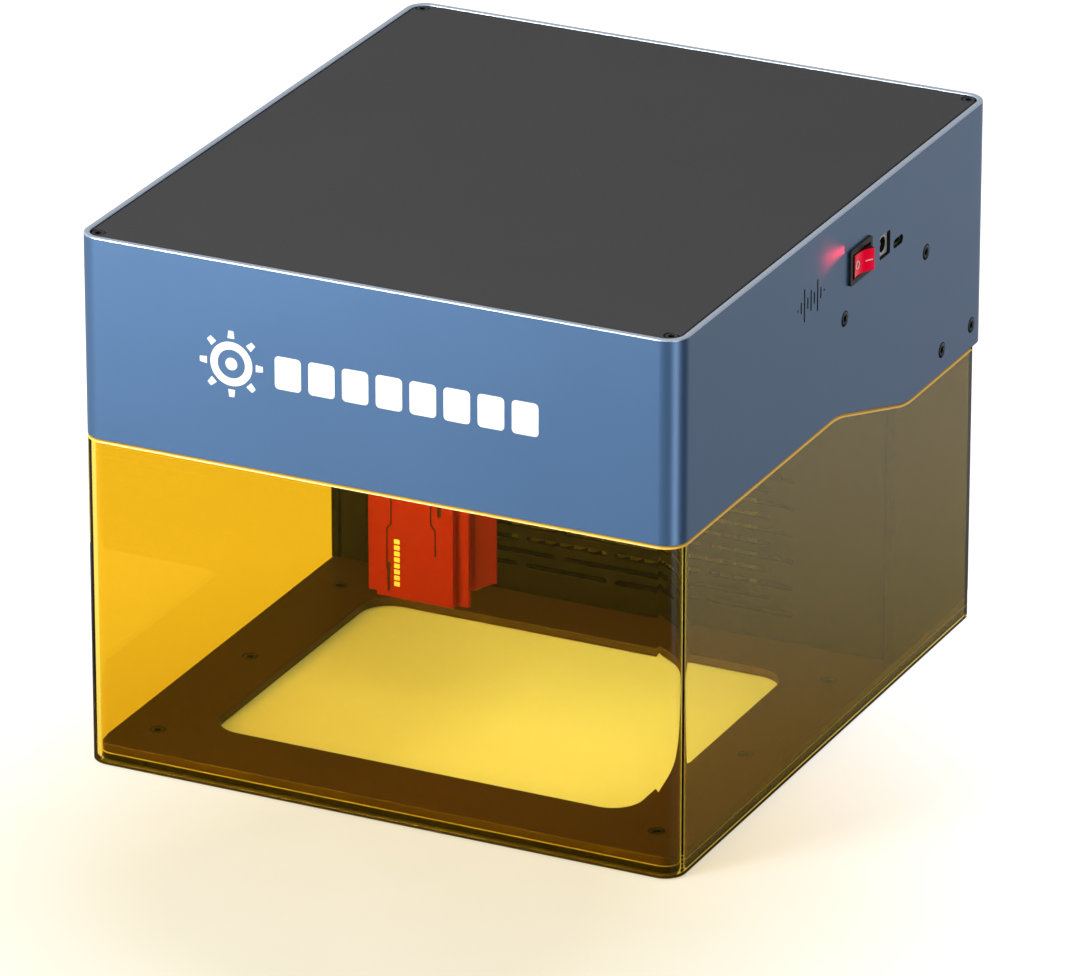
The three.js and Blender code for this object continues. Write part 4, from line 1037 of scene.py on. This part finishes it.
def make_base():
    opening = rounded(-93.0, 93.0, -113.0, 35.0, 13.0, 16)
    base = plate("base_frame_fine", [base_outline(), opening], 4.7, 8.5, 0.5, bevel_steps=3)
    places = [(sx * BASE_SCREW_X, y) for sx in (-1, 1) for y in BASE_SCREWS_Y.values()]
    boolean(base, sunk_holes(places, 3.3, 6.6, 9))
    boolean(base, sunk_holes(places, 1.8, 4, 7))
    stand_for(paint(smooth(base, 35.0), FRAME_COAT), "base_frame")
    bed = plate("bed_plate_fine", [base_outline()], 1.6, 4.5, 0.3)
    paint(smooth(bed, 35.0), BED, BLACK_COAT)
    # The bed's sides and underside are painted black, as shade.
    paint_faces(bed, 1, lambda c, n: n.z < 0.5)
    stand_for(bed, "bed_plate")
    refine("foot_strip_front", RUBBER, 0.3)
    refine("foot_strip_rear", RUBBER, 0.3)


# ---------------------------------------------------------------- switch and sockets
def make_rocker():
    """The rocker about its pivot, tipped with its rear end out."""
    reach, rise, dip = 6.4, 6.4, 1.5
    half = 4.8

    def on_face(y):
        """Height of the dished face over the pivot, at y along the rocker."""
        return rise - dip * (1 - (y / reach) ** 2)

    outline = [(-8.2, -1.5), (8.2, -1.5), (8.2, 0.5)]
    steps = 16
    along = [reach * (1 - 2 * i / steps) for i in range(steps + 1)]
    outline += [(y, on_face(y)) for y in along]
    outline += [(-8.2, 0.5)]
    rocker = prisms("switch_rocker_fine", [outline], -half, half)
    turn = Matrix(((0, 1, 0), (1, 0, 0), (0, 0, -1))).to_4x4()
    tilt = Matrix.Rotation(math.radians(-ROCKER_TILT), 4, "Z")
    seat = Matrix.Translation(Vector((ROCKER_X, SWITCH_Y, SWITCH_Z)) * MM)
    rocker.data.transform(turn)
    paint(rocker, LIT_RED, SHADED_RED)
    # The rocker's sides are painted darker, as shade.
    paint_faces(rocker, 1, lambda c, n: n.x < 0.75)
    rocker.data.transform(seat @ tilt)
    stand_for(soften(rocker, 0.35, 3, 40.0), "switch_rocker")

    # The marks lie on the rocker's face: a ring at its front end and a bar at its rear end.
    marks = [
        ("rocker_ring", [circle(-3.6, 0, 1.8, 40), circle(-3.6, 0, 1.3, 36)], -3.6),
        ("rocker_bar", [rounded(2.0, 5.6, -0.22, 0.22, 0.1, 3)], 3.8),
    ]
    for name, outlines, y in marks:
        height = on_face(y)
        slope = math.atan(2 * dip * y / reach**2)
        centred = [[(u - y, v) for u, v in outline] for outline in outlines]
        mark = plate(name, centred, -0.35, 0.30, 0.03, "x", 1)
        lean = Matrix.Rotation(-slope, 4, "Z")
        mark.data.transform(seat @ tilt @ Matrix.Translation(Vector((height, y, 0)) * MM) @ lean)
        paint(smooth(mark), WHITE_PRINT)
        ride_with(mark, "switch_rocker")


def make_sockets():
    """The sockets' faces are silver, and everything set back in them is painted dark: partly their
    black plastic, partly painted shade.
    """
    face = HALF_WIDTH - SUNK
    jack = refine("dc_jack", SOCKET_METAL, 0.12, 2)
    paint(jack, SOCKET_METAL, HOLE_BLACK_AND_SHADE, BRASS)

    def reach(centre):
        return math.hypot(centre.y - JACK_Y, centre.z - JACK_Z)

    # Everything set back in the jack is painted dark: its black plastic, and painted shade.
    paint_faces(jack, 1, lambda c, n: c.x < face - 0.1)
    paint_faces(jack, 2, lambda c, n: reach(c) < 1.15 and face - 9 < c.x < face - 0.5)
    usb = refine("usb_port", NICKEL, 0.08, 2)
    paint(usb, NICKEL, HOLE_BLACK_AND_SHADE)
    # The port's inside is painted dark: its black plastic, and painted shade.
    paint_faces(usb, 1, lambda c, n: c.x < face - 0.6)
    refine("switch_body", SWITCH_BLACK, 0.2, 2)


def make_board():
    board = refine("control_board", SOLDER_MASK, 0.1, 1)
    paint(board, SOLDER_MASK, CHIP, CAN)
    paint_faces(board, 1, lambda c, n: c.z > 193.1)
    paint_faces(board, 2, lambda c, n: c.z > 193.1 and c.y > 99)


# ---------------------------------------------------------------- rails, belts and motors
def make_rails():
    for side in ("left", "right"):
        refine(f"{side}_rail_bracket", BRACKET, 0.3)
        refine(f"{side}_y_carriage", BRACKET, 0.3)
        refine(f"{side}_guide_rod", STEEL_Y, 0.35, 2)
    refine("front_cross_rod", STEEL_X, 0.35, 2)
    refine("rear_cross_rod", STEEL_X, 0.35, 2)
    refine("x_carriage", BRACKET, 0.3)
    for node in ("y_drive_pulley", "y_idler_pulley", "x_drive_pulley", "x_idler_pulley"):
        refine(node, STEEL_CAP, 0.12, 1)


def make_motor(node, axis, cap=6.0):
    """The motor with a steel cap at each end of its black body."""
    low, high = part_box(node)
    bm = merged(node)
    normal = Vector((0, 0, 0))
    normal[axis] = 1.0
    for cut in (low[axis] + cap * MM, high[axis] - cap * MM):
        point = Vector((0, 0, 0))
        point[axis] = cut
        geometry = bm.verts[:] + bm.edges[:] + bm.faces[:]
        bmesh.ops.bisect_plane(bm, geom=geometry, plane_co=point, plane_no=normal)
    motor = mesh_from(bm, node + "_fine")
    paint(motor, STEEL_CAP, MOTOR_COAT)
    first, last = low[axis] / MM + cap, high[axis] / MM - cap
    paint_faces(motor, 1, lambda c, n: first < c[axis] < last)
    stand_for(soften(motor, 0.3), node)


# ---------------------------------------------------------------- laser module
def make_laser():
    refine("laser_heatsink", RED, 0.2, 2, 30.0)
    face = refine("laser_front_plate", RED, 0.0)
    paint(face, RED, GROOVE_SHADE)
    # The faces set back in the front plate's grooves are painted dark, as shade.
    paint_faces(face, 1, lambda c, n: MODULE_FRONT_Y + 0.1 < c.y < MODULE_FRONT_Y + 0.6)
    left = LASER_X - MODULE_WIDTH / 2
    bars = 8
    for i in range(bars):
        z = MODULE_BOTTOM + 5.0 + i * 2.62
        outline = rounded(left + 7.7, left + 10.2, z, z + 1.95, 0.3, 3)
        front, back = MODULE_FRONT_Y - 0.03, MODULE_FRONT_Y + 0.3
        bar = plate(f"module_mark_{i + 1}", [outline], front, back, 0.01, "y", 1)
        ride_with(paint(smooth(bar), CREAM_PRINT), "laser_front_plate")
    refine("laser_diode_barrel", BRASS, 0.2)
    refine("laser_nozzle", PLASTIC, 0.2)
    refine("laser_lens", LENS, 0.0)
    refine("laser_fan_frame", PLASTIC, 0.25)
    refine("laser_fan_rotor", PLASTIC, 0.12, 1)


# ---------------------------------------------------------------- rear housing
def panel_rows():
    """The panel's staggered rows of slots."""
    rows = []
    for row in range(11):
        z = 21.2 + row * 5.93
        x, lengths = (-78.4, (38, 36.5, 36.7, 37.7)) if row % 2 == 0 else (-61.3, (38, 49.3, 37.9))
        for length in lengths:
            rows.append(slot_outline(x, x + length, z - 1.15, z + 1.15, 4))
            x += length + 3.9
    return rows


def make_rear():
    rim = rounded(-122.2, 122.2, 8.8, 137.6, 1.0, 4)
    panel = plate("rear_panel_fine", [rim, *panel_rows()], 62.1, 64.1, 0.18, "y", 1)
    stand_for(paint(smooth(panel), BLACK_COAT), "rear_panel")

    half, middle, bore = 43.0, 75.0, 38.0
    slots = []
    for i in range(9):
        z = (i - 4) * 8.0
        reach = math.sqrt(bore**2 - (z * 0.98) ** 2) - 1
        slots.append(slot_outline(-reach, reach, middle + z - 2.4, middle + z + 2.4, 6))
    rim = rounded(-half, half, middle - half, middle + half, 4.0, 8)
    grille = plate("exhaust_grille_fine", [rim, *slots], 145.5, 147.9, 0.35, "y", 2)
    stand_for(paint(smooth(grille), BLACK_COAT), "exhaust_grille")

    refine("rear_housing", BLACK_COAT, 0.35)
    refine("filter_cartridge", FELT, 0.3, 2, 50.0)
    refine("exhaust_fan_frame", PLASTIC, 0.4)
    refine("exhaust_fan_rotor", PLASTIC, 0.25, 2)


make_camera()
make_studio()
make_shell()
make_mark()
make_cover()
make_screws()
make_shield()
make_base()
make_rocker()
make_sockets()
make_board()
make_rails()
make_motor("y_motor", 0)
make_motor("x_motor", 1)
make_laser()
make_rear()
for belt in ("y_belt", "x_belt"):
    refine(belt, RUBBER, 0.1, 1)
